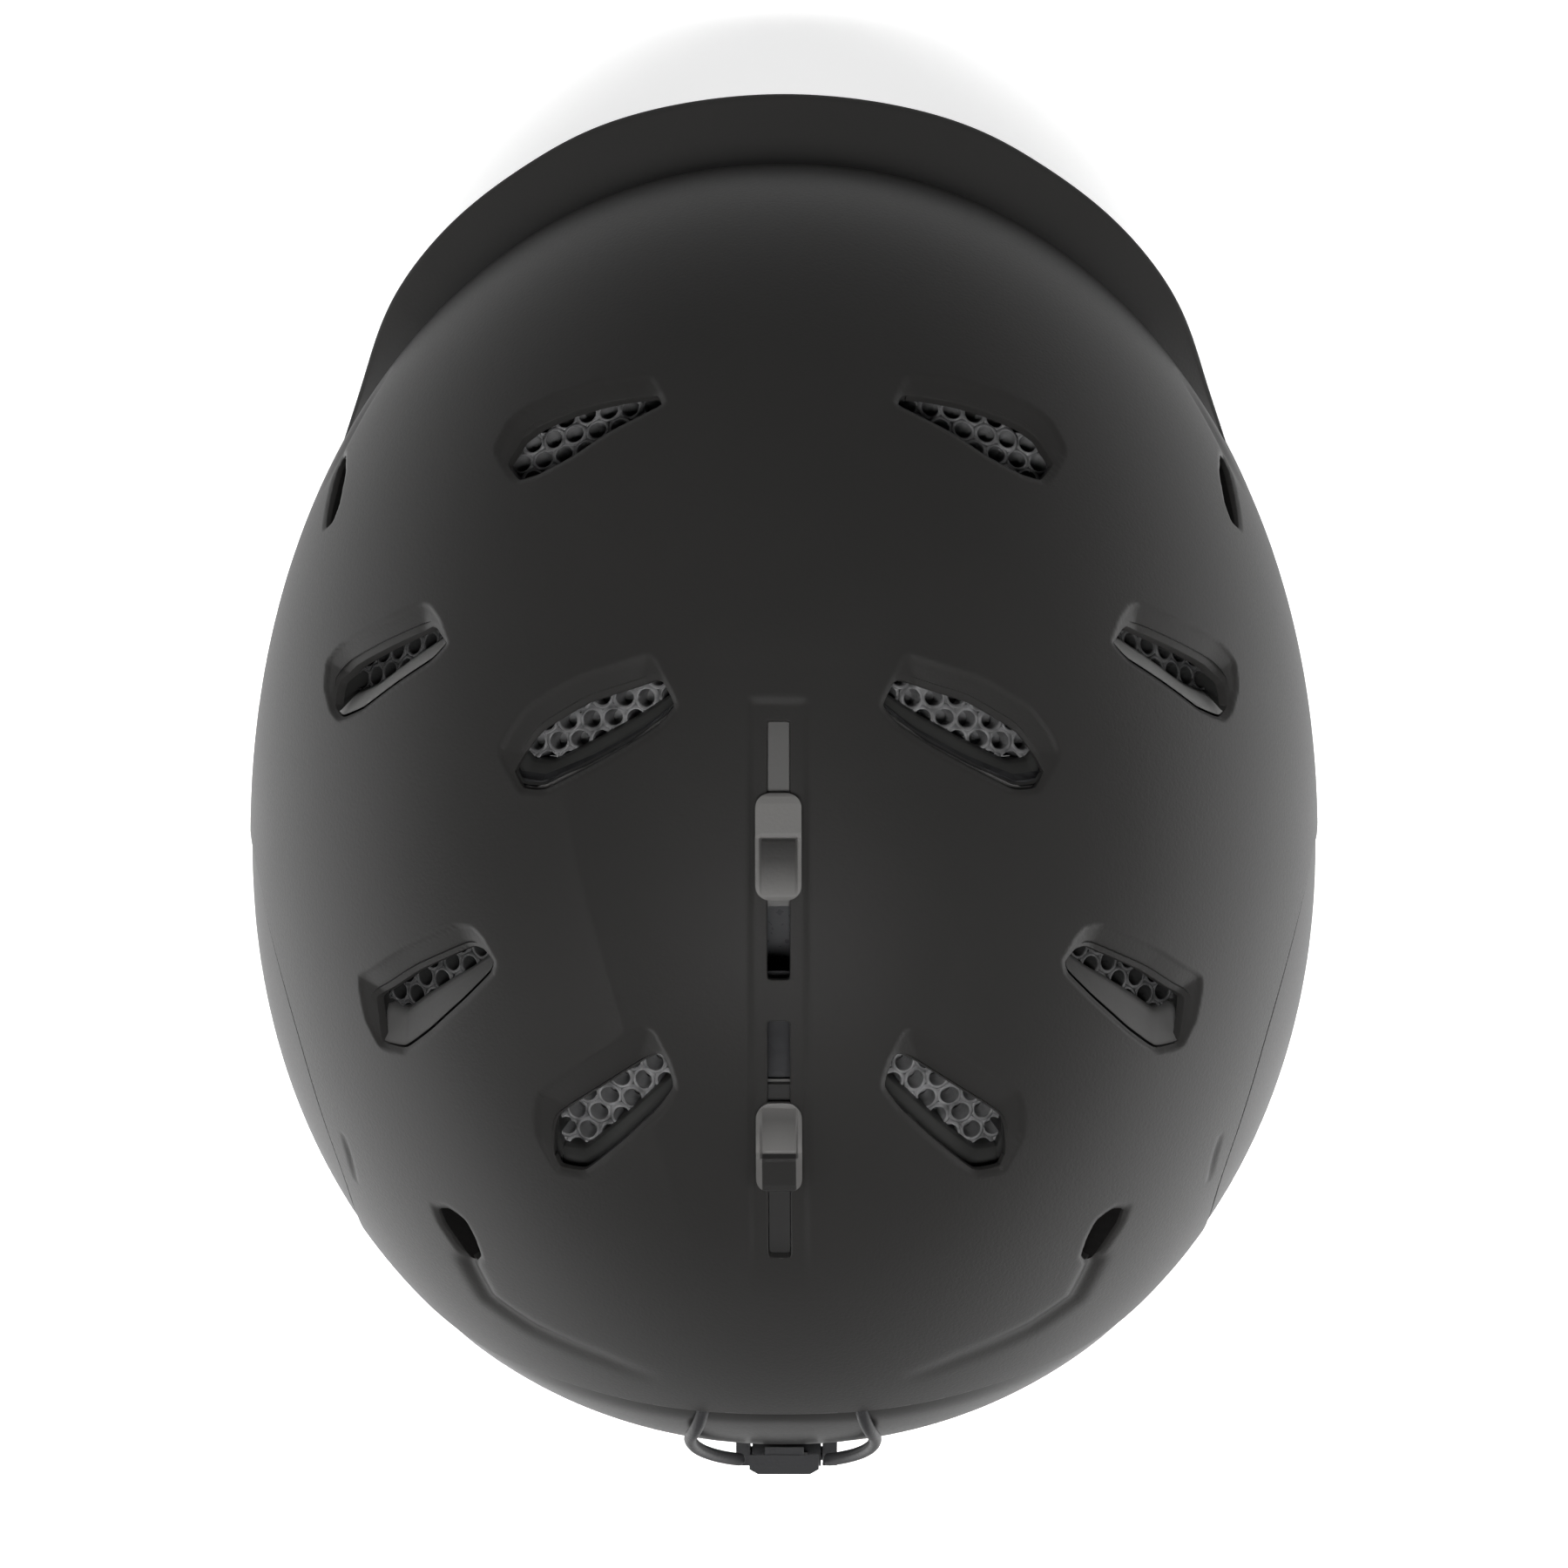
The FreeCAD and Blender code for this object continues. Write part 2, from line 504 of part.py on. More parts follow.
brow_form = prism([(-72, 0, 106), (-40, 0, 128), (0, 0, 133), (40, 0, 128), (72, 0, 106), (80, 0, 96),
                   (40, 0, 99), (0, 0, 101), (-40, 0, 99), (-80, 0, 96)], (0, -150, 0), True)
brow = one(pad.common(block(-100, 100, -130, -34, 80, 150)).common(brow_form))
save("brow_pad", brow)
crown = plan_pad([(0, -34), (12, -26), (14, 0), (34, 14), (44, 26), (34, 34), (14, 30), (10, 52), (0, 60),
                  (-10, 52), (-14, 30), (-34, 34), (-44, 26), (-34, 14), (-14, 0), (-12, -26)])
save("crown_pad", one(crown))
side_form = prism([(0, -24, 92), (0, 10, 89), (0, 52, 90), (0, 66, 98), (0, 58, 118), (0, 34, 126),
                   (0, 8, 122), (0, -22, 112), (0, -30, 100)], (120, 0, 0), True)
side_pad = pad.common(block(30, 120, -50, 90, 70, 150)).common(side_form)
save("side_pad_left", one(side_pad))
save("side_pad_right", mirrored(one(side_pad)))

ear_form = prism([(87.0, -19, 0), (87.0, 36, 0), (87.0, 50, 9), (87.0, 57, 26), (87.0, 57, 46),
                  (87.0, 44, 58), (87.0, 34, 65), (87.0, -24, 66), (87.0, -33, 58), (87.0, -34, 38),
                  (87.0, -30, 12)], (14, 0, 0))
corners = [e for e in ear_form.Edges if abs(e.Vertexes[0].X - e.Vertexes[-1].X) > 5]
ear_pad = ear_form.makeFillet(5.0, corners)
rims = [e for e in ear_pad.Edges if e.BoundBox.XLength < 0.01 and e.BoundBox.ZMax > 6]
try:
    ear_pad = ear_pad.makeFillet(2.5, rims)
except Exception:
    print("ear pad rim left square")
ear_pad = ear_pad.cut(Part.makeCompound(snaps))
save("ear_pad_left", one(ear_pad))
save("ear_pad_right", mirrored(one(ear_pad)))
save("ear_pad_snaps", Part.makeCompound(snaps + [mirrored(s) for s in snaps]))

# ---------------------------------------------------------------- chin strap
strap_w = 18.0
strap_mid = 9.0            # Y of the strap under the chin
strap_z = 1.2              # underside of the strap where it lies flat
join_z = 30.0              # middle of the strap divider


def band(points, x, t, width):
    """Flat webbing leg of constant width between two (Y, Z) points, lying in a plane of constant X."""
    (y0, z0), (y1, z1) = points
    d = hypot(y1 - y0, z1 - z0)
    ny, nz = -(z1 - z0) / d * width / 2, (y1 - y0) / d * width / 2
    return prism([(x, y0 + ny, z0 + nz), (x, y1 + ny, z1 + nz), (x, y1 - ny, z1 - nz), (x, y0 - ny, z0 - nz)],
                 (t, 0, 0))


divider = prism([(strap_x - 0.9, -7, 21), (strap_x - 0.9, 25, 21), (strap_x - 0.9, 27, 26),
                 (strap_x - 0.9, 22, 40), (strap_x - 0.9, 12, 42), (strap_x - 0.9, 5, 41),
                 (strap_x - 0.9, -6, 38), (strap_x - 0.9, -9, 28)], (strap_t + 1.8, 0, 0))
legs = [band([(-26, 66), (4, 33)], strap_x, strap_t, 14), band([(50, 57.5), (14, 34)], strap_x, strap_t, 14)]
upper = [leg.cut(Part.makeCompound(anchors)) for leg in legs]
upper = [upper[0].fuse(block(strap_x, strap_x + strap_t, -33, -19, 64.0, 66.0)), upper[1]]
upper = [one(u.cut(divider).cut(Part.makeCompound(anchors))) for u in upper]
save("strap_upper_left", Part.makeCompound(upper))
save("strap_upper_right", mirrored(Part.makeCompound(upper)))
save("strap_anchors", Part.makeCompound(anchors + [mirrored(a) for a in anchors]))
save("strap_dividers", Part.makeCompound([divider, mirrored(divider)]))

bend_r = 9.0


def strap_profile(x_end, side):
    """Webbing from the divider down to the flat run, as a profile in X and Z."""
    a, b = strap_x, strap_x + strap_t
    cz, cx = strap_z + strap_t + bend_r, strap_x - bend_r
    outer_r = bend_r + strap_t
    s = 0.70711
    y = strap_mid - strap_w / 2
    pt = lambda x, z: V(side * x, y, z)
    edges = [Part.makeLine(pt(a, 21), pt(b, 21)), Part.makeLine(pt(b, 21), pt(b, cz)),
             Part.Arc(pt(b, cz), pt(cx + outer_r * s, cz - outer_r * s), pt(cx, strap_z)).toShape(),
             Part.makeLine(pt(cx, strap_z), pt(x_end, strap_z)),
             Part.makeLine(pt(x_end, strap_z), pt(x_end, strap_z + strap_t)),
             Part.makeLine(pt(x_end, strap_z + strap_t), pt(cx, strap_z + strap_t)),
             Part.Arc(pt(cx, strap_z + strap_t), pt(cx + bend_r * s, cz - bend_r * s), pt(a, cz)).toShape(),
             Part.makeLine(pt(a, cz), pt(a, 21))]
    return Part.Face(Part.Wire(edges)).extrude(V(0, strap_w, 0))


free_end = 44.0
save("strap_lower_left", strap_profile(free_end, 1))
save("strap_lower_right", strap_profile(15.2, -1))
chin_pad = block(-66, -33, strap_mid - 13, strap_mid + 13, strap_z + strap_t, 9.5)
try:
    chin_pad = chin_pad.makeFillet(2.0, [e for e in chin_pad.Edges if e.BoundBox.ZMin > 3])
except Exception:
    print("chin pad left square")
save("chin_pad", chin_pad)

# Length adjuster on the left: a three-bar plate that the webbing passes through.
adjuster = block(55, 71, strap_mid - 12, strap_mid + 12, strap_z - 0.8, strap_z + strap_t + 1.6)
adjuster = adjuster.cut(block(54, 72, strap_mid - strap_w / 2 - 0.2, strap_mid + strap_w / 2 + 0.2, strap_z - 0.05,
                              strap_z + strap_t + 0.05))
adjuster = adjuster.cut(block(58, 61.5, strap_mid - 9, strap_mid + 9, 2, 6)).cut(
    block(64.5, 68, strap_mid - 9, strap_mid + 9, 2, 6))
save("strap_adjuster", one(adjuster))

# Magnetic buckle: the lower half slides out sideways along +Y in the groove of the upper half.
buckle_run = 14.0
y0, y1 = strap_mid - 11, strap_mid + 11
base = block(-24, 22, y0, y1, 5.2, 11.6).fuse(block(-24, -13, y0, y1, 0.5, 5.2))
base = base.cut(block(3.7, 10.3, y0 + 3, y1 + 1, 5.0, 8.6)).cut(
    block(0.7, 13.3, y0 + 3, y1 + 1, 7.0, 8.6))
base = base.cut(block(-25, -15, strap_mid - strap_w / 2 - 0.1, strap_mid + strap_w / 2 + 0.1, strap_z - 0.05,
                      strap_z + strap_t + 0.05))
base = base.cut(Part.makeCylinder(5.1, 2.2, V(-5.5, strap_mid, 5.2), V(0, 0, 1)))
base = base.makeFillet(2.0, [e for e in base.Edges if e.BoundBox.ZLength < 0.01 and e.BoundBox.ZMin > 11.5])
save("buckle_base", one(base))
save("buckle_magnet_upper", Part.makeCylinder(5.0, 2.0, V(-5.5, strap_mid, 5.3), V(0, 0, 1)))
slider = block(-12, 34, y0 + 0.4, y1 - 0.4, 0.5, 4.9).fuse(
    [block(4, 10, y0 + 3.3, y1 - 0.4, 4.8, 7.4), block(1.0, 13.0, y0 + 3.3, y1 - 0.4, 7.3, 8.3)])
slider = slider.cut(block(25, 35, strap_mid - strap_w / 2 - 0.1, strap_mid + strap_w / 2 + 0.1, strap_z - 0.05,
                          strap_z + strap_t + 0.05))
slider = slider.cut(Part.makeCylinder(5.1, 2.2, V(-5.5, strap_mid, 2.7), V(0, 0, 1)))
save("buckle_slider", one(slider))
save("buckle_magnet_lower", Part.makeCylinder(5.0, 2.0, V(-5.5, strap_mid, 2.8), V(0, 0, 1)))
save("strap_end_left", block(25.1, free_end, strap_mid - strap_w / 2, strap_mid + strap_w / 2, strap_z,
                             strap_z + strap_t))

# ---------------------------------------------------------------- fit system
cradle_out, cradle_in, cradle_run = 37.0, 39.2, 10.0
cradle_form = prism([(-130, 24, 52), (-130, 60, 50), (-130, 80, 36), (-130, 104, 27), (-130, 120, 27),
                     (-130, 120, 78), (-130, 92, 78), (-130, 70, 66), (-130, 24, 65)], (260, 0, 0))
cradle = layer(cradle_out, cradle_in).common(cradle_form)
pin_y, pin_z = 31.0, 58.5
slots = [block(40, 90, pin_y - 2.2, pin_y + 2.2 + cradle_run, pin_z - 2.2, pin_z + 2.2)]
slots.append(mirrored(slots[0]))
cradle = cradle.cut(Part.makeCompound(slots))
for x0 in (14, 30):
    hole = block(x0, x0 + 10, 80, 125, 58, 70)
    cradle = cradle.cut(hole).cut(mirrored(hole))
hub_hole = Part.makeCylinder(3.4, 20, V(0, 88, dial_z), V(0, 1, 0))
cradle = cradle.cut(hub_hole)
save("cradle_band", one(cradle))
housing = Part.makeCylinder(14, 5.0, V(0, dial_y - 5.4, dial_z), V(0, 1, 0))
housing = housing.fuse(block(-22, 22, dial_y - 5.4, dial_y - 1.4, 30, 47)).cut(dome(cradle_out, 7.0, 2.0))
housing = housing.cut(hub_hole)
save("dial_housing", one(housing))
nape_form = prism([(-40, 0, 54), (-24, 0, 57.0), (0, 0, 56), (24, 0, 57.0), (40, 0, 54), (46, 0, 64),
                   (38, 0, 76), (0, 0, 79), (-38, 0, 76), (-46, 0, 64)], (0, 150, 0), True)
nape = layer(39.4, 44.0).common(block(-90, 90, 60, 130, 20, 100)).common(nape_form)
save("nape_pad", one(nape))
knurl = [Part.makeCylinder(1.3, 9, V(dial_r * cos(k * pi / 10), dial_y, dial_z + dial_r * sin(k * pi / 10)),
                           V(0, 1, 0)) for k in range(20)]
dial = Part.makeCylinder(dial_r, 7.4, V(0, dial_y, dial_z), V(0, 1, 0)).cut(Part.makeCompound(knurl))
dial = dial.cut(Part.makeCylinder(2.6, 5, V(0, dial_y - 1, dial_z), V(0, 1, 0)))
save("dial", one(dial))
save("dial_pinion", Part.makeCylinder(2.5, 10.5, V(0, dial_y - 6.6, dial_z), V(0, 1, 0)))
guide = layer(29.5, 36.6).common(block(40, 110, 18, 50, 53, 84))
guide_pin = Part.makeCylinder(1.9, 18.8, V(62.2, pin_y, pin_z), V(1, 0, 0))
guide_pin = guide_pin.fuse(Part.makeCylinder(3.6, 1.6, V(62.2, pin_y, pin_z), V(1, 0, 0)))
guide = guide.cut(guide_pin)
save("cradle_guides", Part.makeCompound([one(guide), mirrored(one(guide))]))
save("cradle_pins", Part.makeCompound([guide_pin, mirrored(guide_pin)]))

# ---------------------------------------------------------------- vent sliders
save("front_slider_track", one(track(front_axis, front_slot)))
save("rear_slider_track", one(track(rear_axis, rear_slot)))
save("front_vent_knob", one(knob(front_axis, front_knob, False)))
save("rear_vent_knob", one(knob(rear_axis, rear_knob, True)))
front_lane = one(carrier(front_axis, (-12.8, 23.0), (-12.0, 25.0)).cut(knob(front_axis, front_knob, False)))
rear_lane = one(carrier(rear_axis, (65.5, 96.6), (62.0, 92.0)).cut(knob(rear_axis, rear_knob, True)))
front_lid = lid(front_axis, -44, 6, 57, front_lid_plan, vent_mid, slants["mid"])
rear_lid = lid(rear_axis, 56, 97, 50, rear_lid_plan, vent_rear, slants["rear"])
save("front_vent_carrier", front_lane.cut(front_lid))
save("rear_vent_carrier", rear_lane.cut(rear_lid))
save("front_vent_shutter", front_lid)
save("rear_vent_shutter", rear_lid)
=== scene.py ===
import bpy, bmesh, json
import numpy as np
from math import sin, cos, pi, radians
from mathutils import Vector, Matrix
from mathutils.bvhtree import BVHTree


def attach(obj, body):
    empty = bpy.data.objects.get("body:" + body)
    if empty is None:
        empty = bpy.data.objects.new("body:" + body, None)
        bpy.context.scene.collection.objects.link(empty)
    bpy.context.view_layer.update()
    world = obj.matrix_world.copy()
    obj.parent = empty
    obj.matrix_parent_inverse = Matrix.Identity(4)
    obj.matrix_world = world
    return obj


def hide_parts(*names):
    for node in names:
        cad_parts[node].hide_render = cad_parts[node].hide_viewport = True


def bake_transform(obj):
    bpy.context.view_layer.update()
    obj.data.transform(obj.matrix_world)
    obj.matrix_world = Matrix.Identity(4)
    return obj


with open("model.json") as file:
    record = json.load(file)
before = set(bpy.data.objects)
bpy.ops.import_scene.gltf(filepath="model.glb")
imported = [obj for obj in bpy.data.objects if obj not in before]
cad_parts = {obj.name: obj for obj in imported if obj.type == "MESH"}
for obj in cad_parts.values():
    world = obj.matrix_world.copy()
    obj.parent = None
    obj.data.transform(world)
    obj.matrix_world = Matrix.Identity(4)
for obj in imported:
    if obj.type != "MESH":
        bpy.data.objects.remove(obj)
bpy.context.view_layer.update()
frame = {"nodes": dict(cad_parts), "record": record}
MM = 0.001
rng = np.random.default_rng(7)

# ---- dome surface, mm
# A superellipsoid whose front, rear, crown and lower half lengths differ, widest at MID_Y and WIDE_Z.
HALF_W, MID_Y, FRONT, REAR = 111.0, 12.0, 141.0, 125.3
WIDE_Z, CROWN, LOWER, POWER = 95.0, 100.0, 170.0, 2.1
# The lower rim in side view (y, z).
RIM = [(-165, 94), (-135, 90), (-100, 86), (-60, 80), (-40, 73.5), (-22, 70.5), (8, 70), (33, 69.5),
       (52, 61), (72, 49), (98, 40.5), (137, 38), (165, 38)]
RIM_END = 160


def half_y(y):
    return np.where(y < MID_Y, FRONT, REAR)


def half_z(z):
    return np.where(z > WIDE_Z, CROWN, LOWER)


def level(x, y, z):
    """Below 1 inside the dome and above 1 outside."""
    return (np.abs(x) / HALF_W) ** POWER + (np.abs(y - MID_Y) / half_y(y)) ** POWER + (
        np.abs(z - WIDE_Z) / half_z(z)) ** POWER


def unit(v):
    return v / np.linalg.norm(v, axis=-1, keepdims=True)


def bisect(inside, shape, far=260.0, steps=36):
    """Largest distance at which inside() still holds, for every element of an array."""
    lo, hi = np.zeros(shape), np.full(shape, far)
    for _ in range(steps):
        mid = (lo + hi) / 2
        ok = inside(mid)
        lo, hi = np.where(ok, mid, lo), np.where(ok, hi, mid)
    return lo


def ray(origin, direction):
    """Point where rays from origin leave the dome."""
    o, d = np.broadcast_arrays(np.asarray(origin, float), np.asarray(direction, float))
    s = bisect(lambda r: level(o[..., 0] + r * d[..., 0], o[..., 1] + r * d[..., 1],
                               o[..., 2] + r * d[..., 2]) < 1, d.shape[:-1])
    return o + s[..., None] * d


def normal(p):
    """Outward direction of the dome at points on or near it."""
    parts = []
    for value, middle, half in ((p[..., 0], 0.0, HALF_W), (p[..., 1], MID_Y, half_y(p[..., 1])),
                                (p[..., 2], WIDE_Z, half_z(p[..., 2]))):
        away = value - middle
        parts.append(np.sign(away) * (np.abs(away) / half) ** (POWER - 1) / half)
    return unit(np.stack(parts, -1))


def top(x, y):
    """Height of the dome over a place in plan."""
    x, y = np.broadcast_arrays(np.asarray(x, float), np.asarray(y, float))
    return WIDE_Z + bisect(lambda h: level(x, y, WIDE_Z + h) < 1, x.shape)


def cubic(xs, ys, q):
    """Natural cubic spline through (xs, ys) at q."""
    xs, ys, q = np.asarray(xs, float), np.asarray(ys, float), np.asarray(q, float)
    n, h = len(xs), np.diff(xs)
    a = np.eye(n)
    r = np.zeros(n)
    for i in range(1, n - 1):
        a[i, i - 1:i + 2] = h[i - 1], 2 * (h[i - 1] + h[i]), h[i]
        r[i] = 6 * ((ys[i + 1] - ys[i]) / h[i] - (ys[i] - ys[i - 1]) / h[i - 1])
    m = np.linalg.solve(a, r)
    k = np.clip(np.searchsorted(xs, q) - 1, 0, n - 2)
    u, v = xs[k + 1] - q, q - xs[k]
    return (m[k] * u ** 3 + m[k + 1] * v ** 3) / (6 * h[k]) + (ys[k] / h[k] - m[k] * h[k] / 6) * u + (
        ys[k + 1] / h[k] - m[k + 1] * h[k] / 6) * v


def rim_z(y):
    """Height of the lower rim."""
    return cubic(*np.transpose(RIM), np.clip(y, -RIM_END, RIM_END))


def smooth(x, a, b):
    """Smooth step from 0 at a to 1 at b."""
    t = np.clip((x - a) / (b - a), 0, 1)
    return t * t * (3 - 2 * t)


def chaikin(points, rounds, keep=0.25):
    """Rounds the corners of a closed outline by cutting them."""
    p = np.asarray(points, float)
    for _ in range(rounds):
        q = np.roll(p, -1, 0)
        p = np.stack([p * (1 - keep) + q * keep, p * keep + q * (1 - keep)], 1).reshape(-1, p.shape[1])
    return p


def sdf(poly, u, v):
    """Distance to a closed outline, negative inside."""
    best = np.full(u.shape, 1e9)
    inside = np.zeros(u.shape, bool)
    for (ax, ay), (bx, by) in zip(poly, np.roll(poly, -1, 0)):
        ex, ey = bx - ax, by - ay
        t = np.clip(((u - ax) * ex + (v - ay) * ey) / (ex * ex + ey * ey + 1e-12), 0, 1)
        best = np.minimum(best, (u - ax - t * ex) ** 2 + (v - ay - t * ey) ** 2)
        if abs(ey) > 1e-12:
            inside ^= ((ay > v) != (by > v)) & (u < ex * (v - ay) / ey + ax)
    d = np.sqrt(best)
    return np.where(inside, -d, d)


def line_distance(path, p):
    """Distance to an open line and the share of the way along it."""
    best, where = np.full(p.shape[:-1], 1e9), np.zeros(p.shape[:-1])
    steps = np.diff(np.asarray(path, float), axis=0)
    lengths = [np.linalg.norm(e) for e in steps]
    total, run = sum(lengths), 0.0
    for a, e, ln in zip(np.asarray(path, float), steps, lengths):
        t = np.clip((p - a) @ e / (ln * ln), 0, 1)
        d = np.linalg.norm(p - a - t[..., None] * e, axis=-1)
        closer = d < best
        best, where = np.where(closer, d, best), np.where(closer, (run + t * ln) / total, where)
        run += ln
    return best, where


# ---- mesh helpers
def placed(name, data):
    """New object in the scene."""
    ob = bpy.data.objects.new(name, data)
    bpy.context.scene.collection.objects.link(ob)
    return ob


def make(name, verts, faces, mat=None, body=None, smooth_faces=True, attributes=None):
    """Mesh object from mm coordinates."""
    me = bpy.data.meshes.new(name)
    verts = np.asarray(verts, float) * MM
    if isinstance(faces, np.ndarray):
        count, size = faces.shape
        me.vertices.add(len(verts))
        me.vertices.foreach_set("co", verts.astype(np.float32).ravel())
        me.loops.add(count * size)
        me.loops.foreach_set("vertex_index", faces.astype(np.int32).ravel())
        me.polygons.add(count)
        me.polygons.foreach_set("loop_start", np.arange(0, count * size, size, dtype=np.int32))
    else:
        me.from_pydata(verts.tolist(), [], [list(map(int, f)) for f in faces])
    me.validate(clean_customdata=False)
    for key, values in (attributes or {}).items():
        at = me.attributes.new(key, "FLOAT", "POINT")
        at.data.foreach_set("value", np.asarray(values, np.float32))
    me.update()
    if smooth_faces:
        me.polygons.foreach_set("use_smooth", np.ones(len(me.polygons), bool))
    ob = placed(name, me)
    if mat:
        me.materials.append(mat)
    if body:
        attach(ob, body)
    return ob


def sharpen(ob, degrees):
    """Hard edges where faces meet at more than the angle."""
    bm = bmesh.new()
    bm.from_mesh(ob.data)
    limit = radians(degrees)
    for e in bm.edges:
        if len(e.link_faces) == 2 and e.calc_face_angle(0) > limit:
            e.smooth = False
    bm.to_mesh(ob.data)
    bm.free()


def face_outwards(ob):
    bm = bmesh.new()
    bm.from_mesh(ob.data)
    bmesh.ops.recalc_face_normals(bm, faces=bm.faces)
    bm.to_mesh(ob.data)
    bm.free()


def grid_faces(rows, cols, wrap=False):
    """Four-sided faces of a grid of points; wrap joins its last column to the first."""
    i = np.arange(rows - 1)[:, None]
    j = np.arange(cols if wrap else cols - 1)[None, :]
    k = (j + 1) % cols
    a, b, c, d = i * cols + j, i * cols + k, (i + 1) * cols + k, (i + 1) * cols + j
    return np.stack([a, b, c, d], -1).reshape(-1, 4)


def tube_mesh(sections):
    """Lines of points that run side by side, joined into one skin round them and capped at both ends."""
    grid = np.stack(sections, 1)
    stations, around = grid.shape[:2]
    faces = grid_faces(stations, around, wrap=True).tolist()
    faces += [tuple(range(around))[::-1], tuple((stations - 1) * around + i for i in range(around))]
    return grid.reshape(-1, 3), faces


def clip(verts, faces, field, normals):
    """Part of a triangle mesh where field > 0: its vertices, faces, normals and border edges."""
    count = (field[faces] > 0).sum(1)
    keep = faces[count == 3]
    mixed = faces[(count == 1) | (count == 2)]
    new_v, new_n, table, tris, border = [], [], {}, [], []

    def cut(a, b):
        key = (a, b) if a < b else (b, a)
        if key not in table:
            t = field[key[0]] / (field[key[0]] - field[key[1]])
            table[key] = len(verts) + len(new_v)
            for store, values in ((new_v, verts), (new_n, normals)):
                store.append(values[key[0]] * (1 - t) + values[key[1]] * t)
        return table[key]

    for tri in mixed.tolist():
        s = [field[v] > 0 for v in tri]
        single = sum(s) == 1
        k = s.index(single)
        a, b, c = tri[k], tri[(k + 1) % 3], tri[(k + 2) % 3]
        p, q = cut(a, b), cut(a, c)
        tris += [(a, p, q)] if single else [(p, b, c), (p, c, q)]
        border.append((p, q) if single else (q, p))
    verts = np.vstack([verts, np.array(new_v).reshape(-1, 3)])
    faces = np.vstack([keep, np.array(tris, int).reshape(-1, 3)])
    normals = np.vstack([normals, np.array(new_n).reshape(-1, 3)])
    used = np.unique(faces)
    remap = np.full(len(verts), -1)
    remap[used] = np.arange(len(used))
    border = remap[np.array(border, int).reshape(-1, 2)]
    border = border[(border >= 0).all(1)]
    return verts[used], remap[faces], normals[used], border


def wall(verts, faces, normals, border, rows):
    """Turns the border inwards by rows of (outwards across the edge, down), in mm."""
    ids = np.unique(border)
    local = {v: i for i, v in enumerate(ids.tolist())}
    ia, ib = [np.array([local[v] for v in border[:, k].tolist()]) for k in (0, 1)]
    a, b = verts[border[:, 0]], verts[border[:, 1]]
    side = np.cross(b - a, normals[border[:, 0]] + normals[border[:, 1]])
    across = np.zeros((len(ids), 3))
    np.add.at(across, ia, side)
    np.add.at(across, ib, side)
    across /= np.linalg.norm(across, axis=1, keepdims=True) + 1e-12
    out_v, out_f, start, above = [verts], [faces], len(verts), ids
    for out, down in rows:
        out_v.append(verts[ids] + across * out - normals[ids] * down)
        below = start + np.arange(len(ids))
        start += len(ids)
        out_f.append(np.stack([above[ib], above[ia], below[ia]], 1))
        out_f.append(np.stack([above[ib], below[ia], below[ib]], 1))
        above = below
    return np.vstack(out_v), np.vstack(out_f)


# ---- materials
def put(node, **values):
    """Sets, or from a socket feeds, a node's inputs by name or number (_1); other names are properties."""
    for key, value in values.items():
        name = int(key[1:]) if key[0] == "_" else key.replace("_", " ")
        if isinstance(name, str) and name not in node.inputs:
            setattr(node, key, value)
        elif isinstance(value, bpy.types.NodeSocket):
            node.id_data.links.new(value, node.inputs[name])
        else:
            node.inputs[name].default_value = value
    return node


def add(tree, kind, **values):
    return put(tree.nodes.new("ShaderNode" + kind), **values)


def ramp_of(tree, value, stops):
    """Colour ramp over a value. stops: (place, colour)."""
    node = add(tree, "ValToRGB", Fac=value)
    for _ in stops[2:]:
        node.color_ramp.elements.new(0.5)
    for element, (place, color) in zip(node.color_ramp.elements, stops):
        element.position, element.color = place, (*color, 1)
    return node.outputs["Color"]


def sum_of(tree, first, second):
    return add(tree, "Math", operation="ADD", _0=first, _1=second).outputs[0]


def times(tree, value, factor):
    return add(tree, "Math", operation="MULTIPLY", _0=value, _1=factor).outputs[0]


def new_material(name):
    m = bpy.data.materials.new(name)
    m.use_nodes = True
    return m, m.node_tree, m.node_tree.nodes["Principled BSDF"]


def surface(name, color, rough, grain=(900, 0.15), vary=0.25, rough_vary=0.08, large=18, spec=0.5,
            metallic=0.0, pattern="NOISE", coat=0.0, sheen=0.0):
    """Moulded or textile surface with fine grain, slow colour drift and uneven gloss.

    color: red, green and blue, or one number for a grey. grain: texture scale and bump strength.
    large: texture scale of the colour drift, whose share is vary."""
    color = color if isinstance(color, tuple) else (color,) * 3
    m, nt, bsdf = new_material(name)
    place = add(nt, "TexCoord").outputs["Object"]
    drift = add(nt, "TexNoise", Vector=place, Scale=large, Detail=4.0).outputs["Fac"]
    if pattern == "VORONOI":
        fine = add(nt, "TexVoronoi", Vector=place, Scale=grain[0]).outputs["Distance"]
    else:
        fine = add(nt, "TexNoise", Vector=place, Scale=grain[0], Detail=2.0).outputs["Fac"]
    gloss = add(nt, "MapRange", Value=times(nt, sum_of(nt, drift, fine), 0.5), From_Min=0.3, From_Max=0.7,
                To_Min=rough - rough_vary, To_Max=rough + rough_vary)
    bump = add(nt, "Bump", Height=fine, Strength=grain[1], Distance=0.0004)
    tones = [(0.3, [c * (1 - vary) for c in color]), (0.7, [min(1, c * (1 + vary)) for c in color])]
    put(bsdf, Base_Color=ramp_of(nt, drift, tones), Roughness=gloss.outputs["Result"],
        Normal=bump.outputs["Normal"], Specular_IOR_Level=spec, Metallic=metallic, Coat_Weight=coat,
        Sheen_Weight=sheen)
    return m


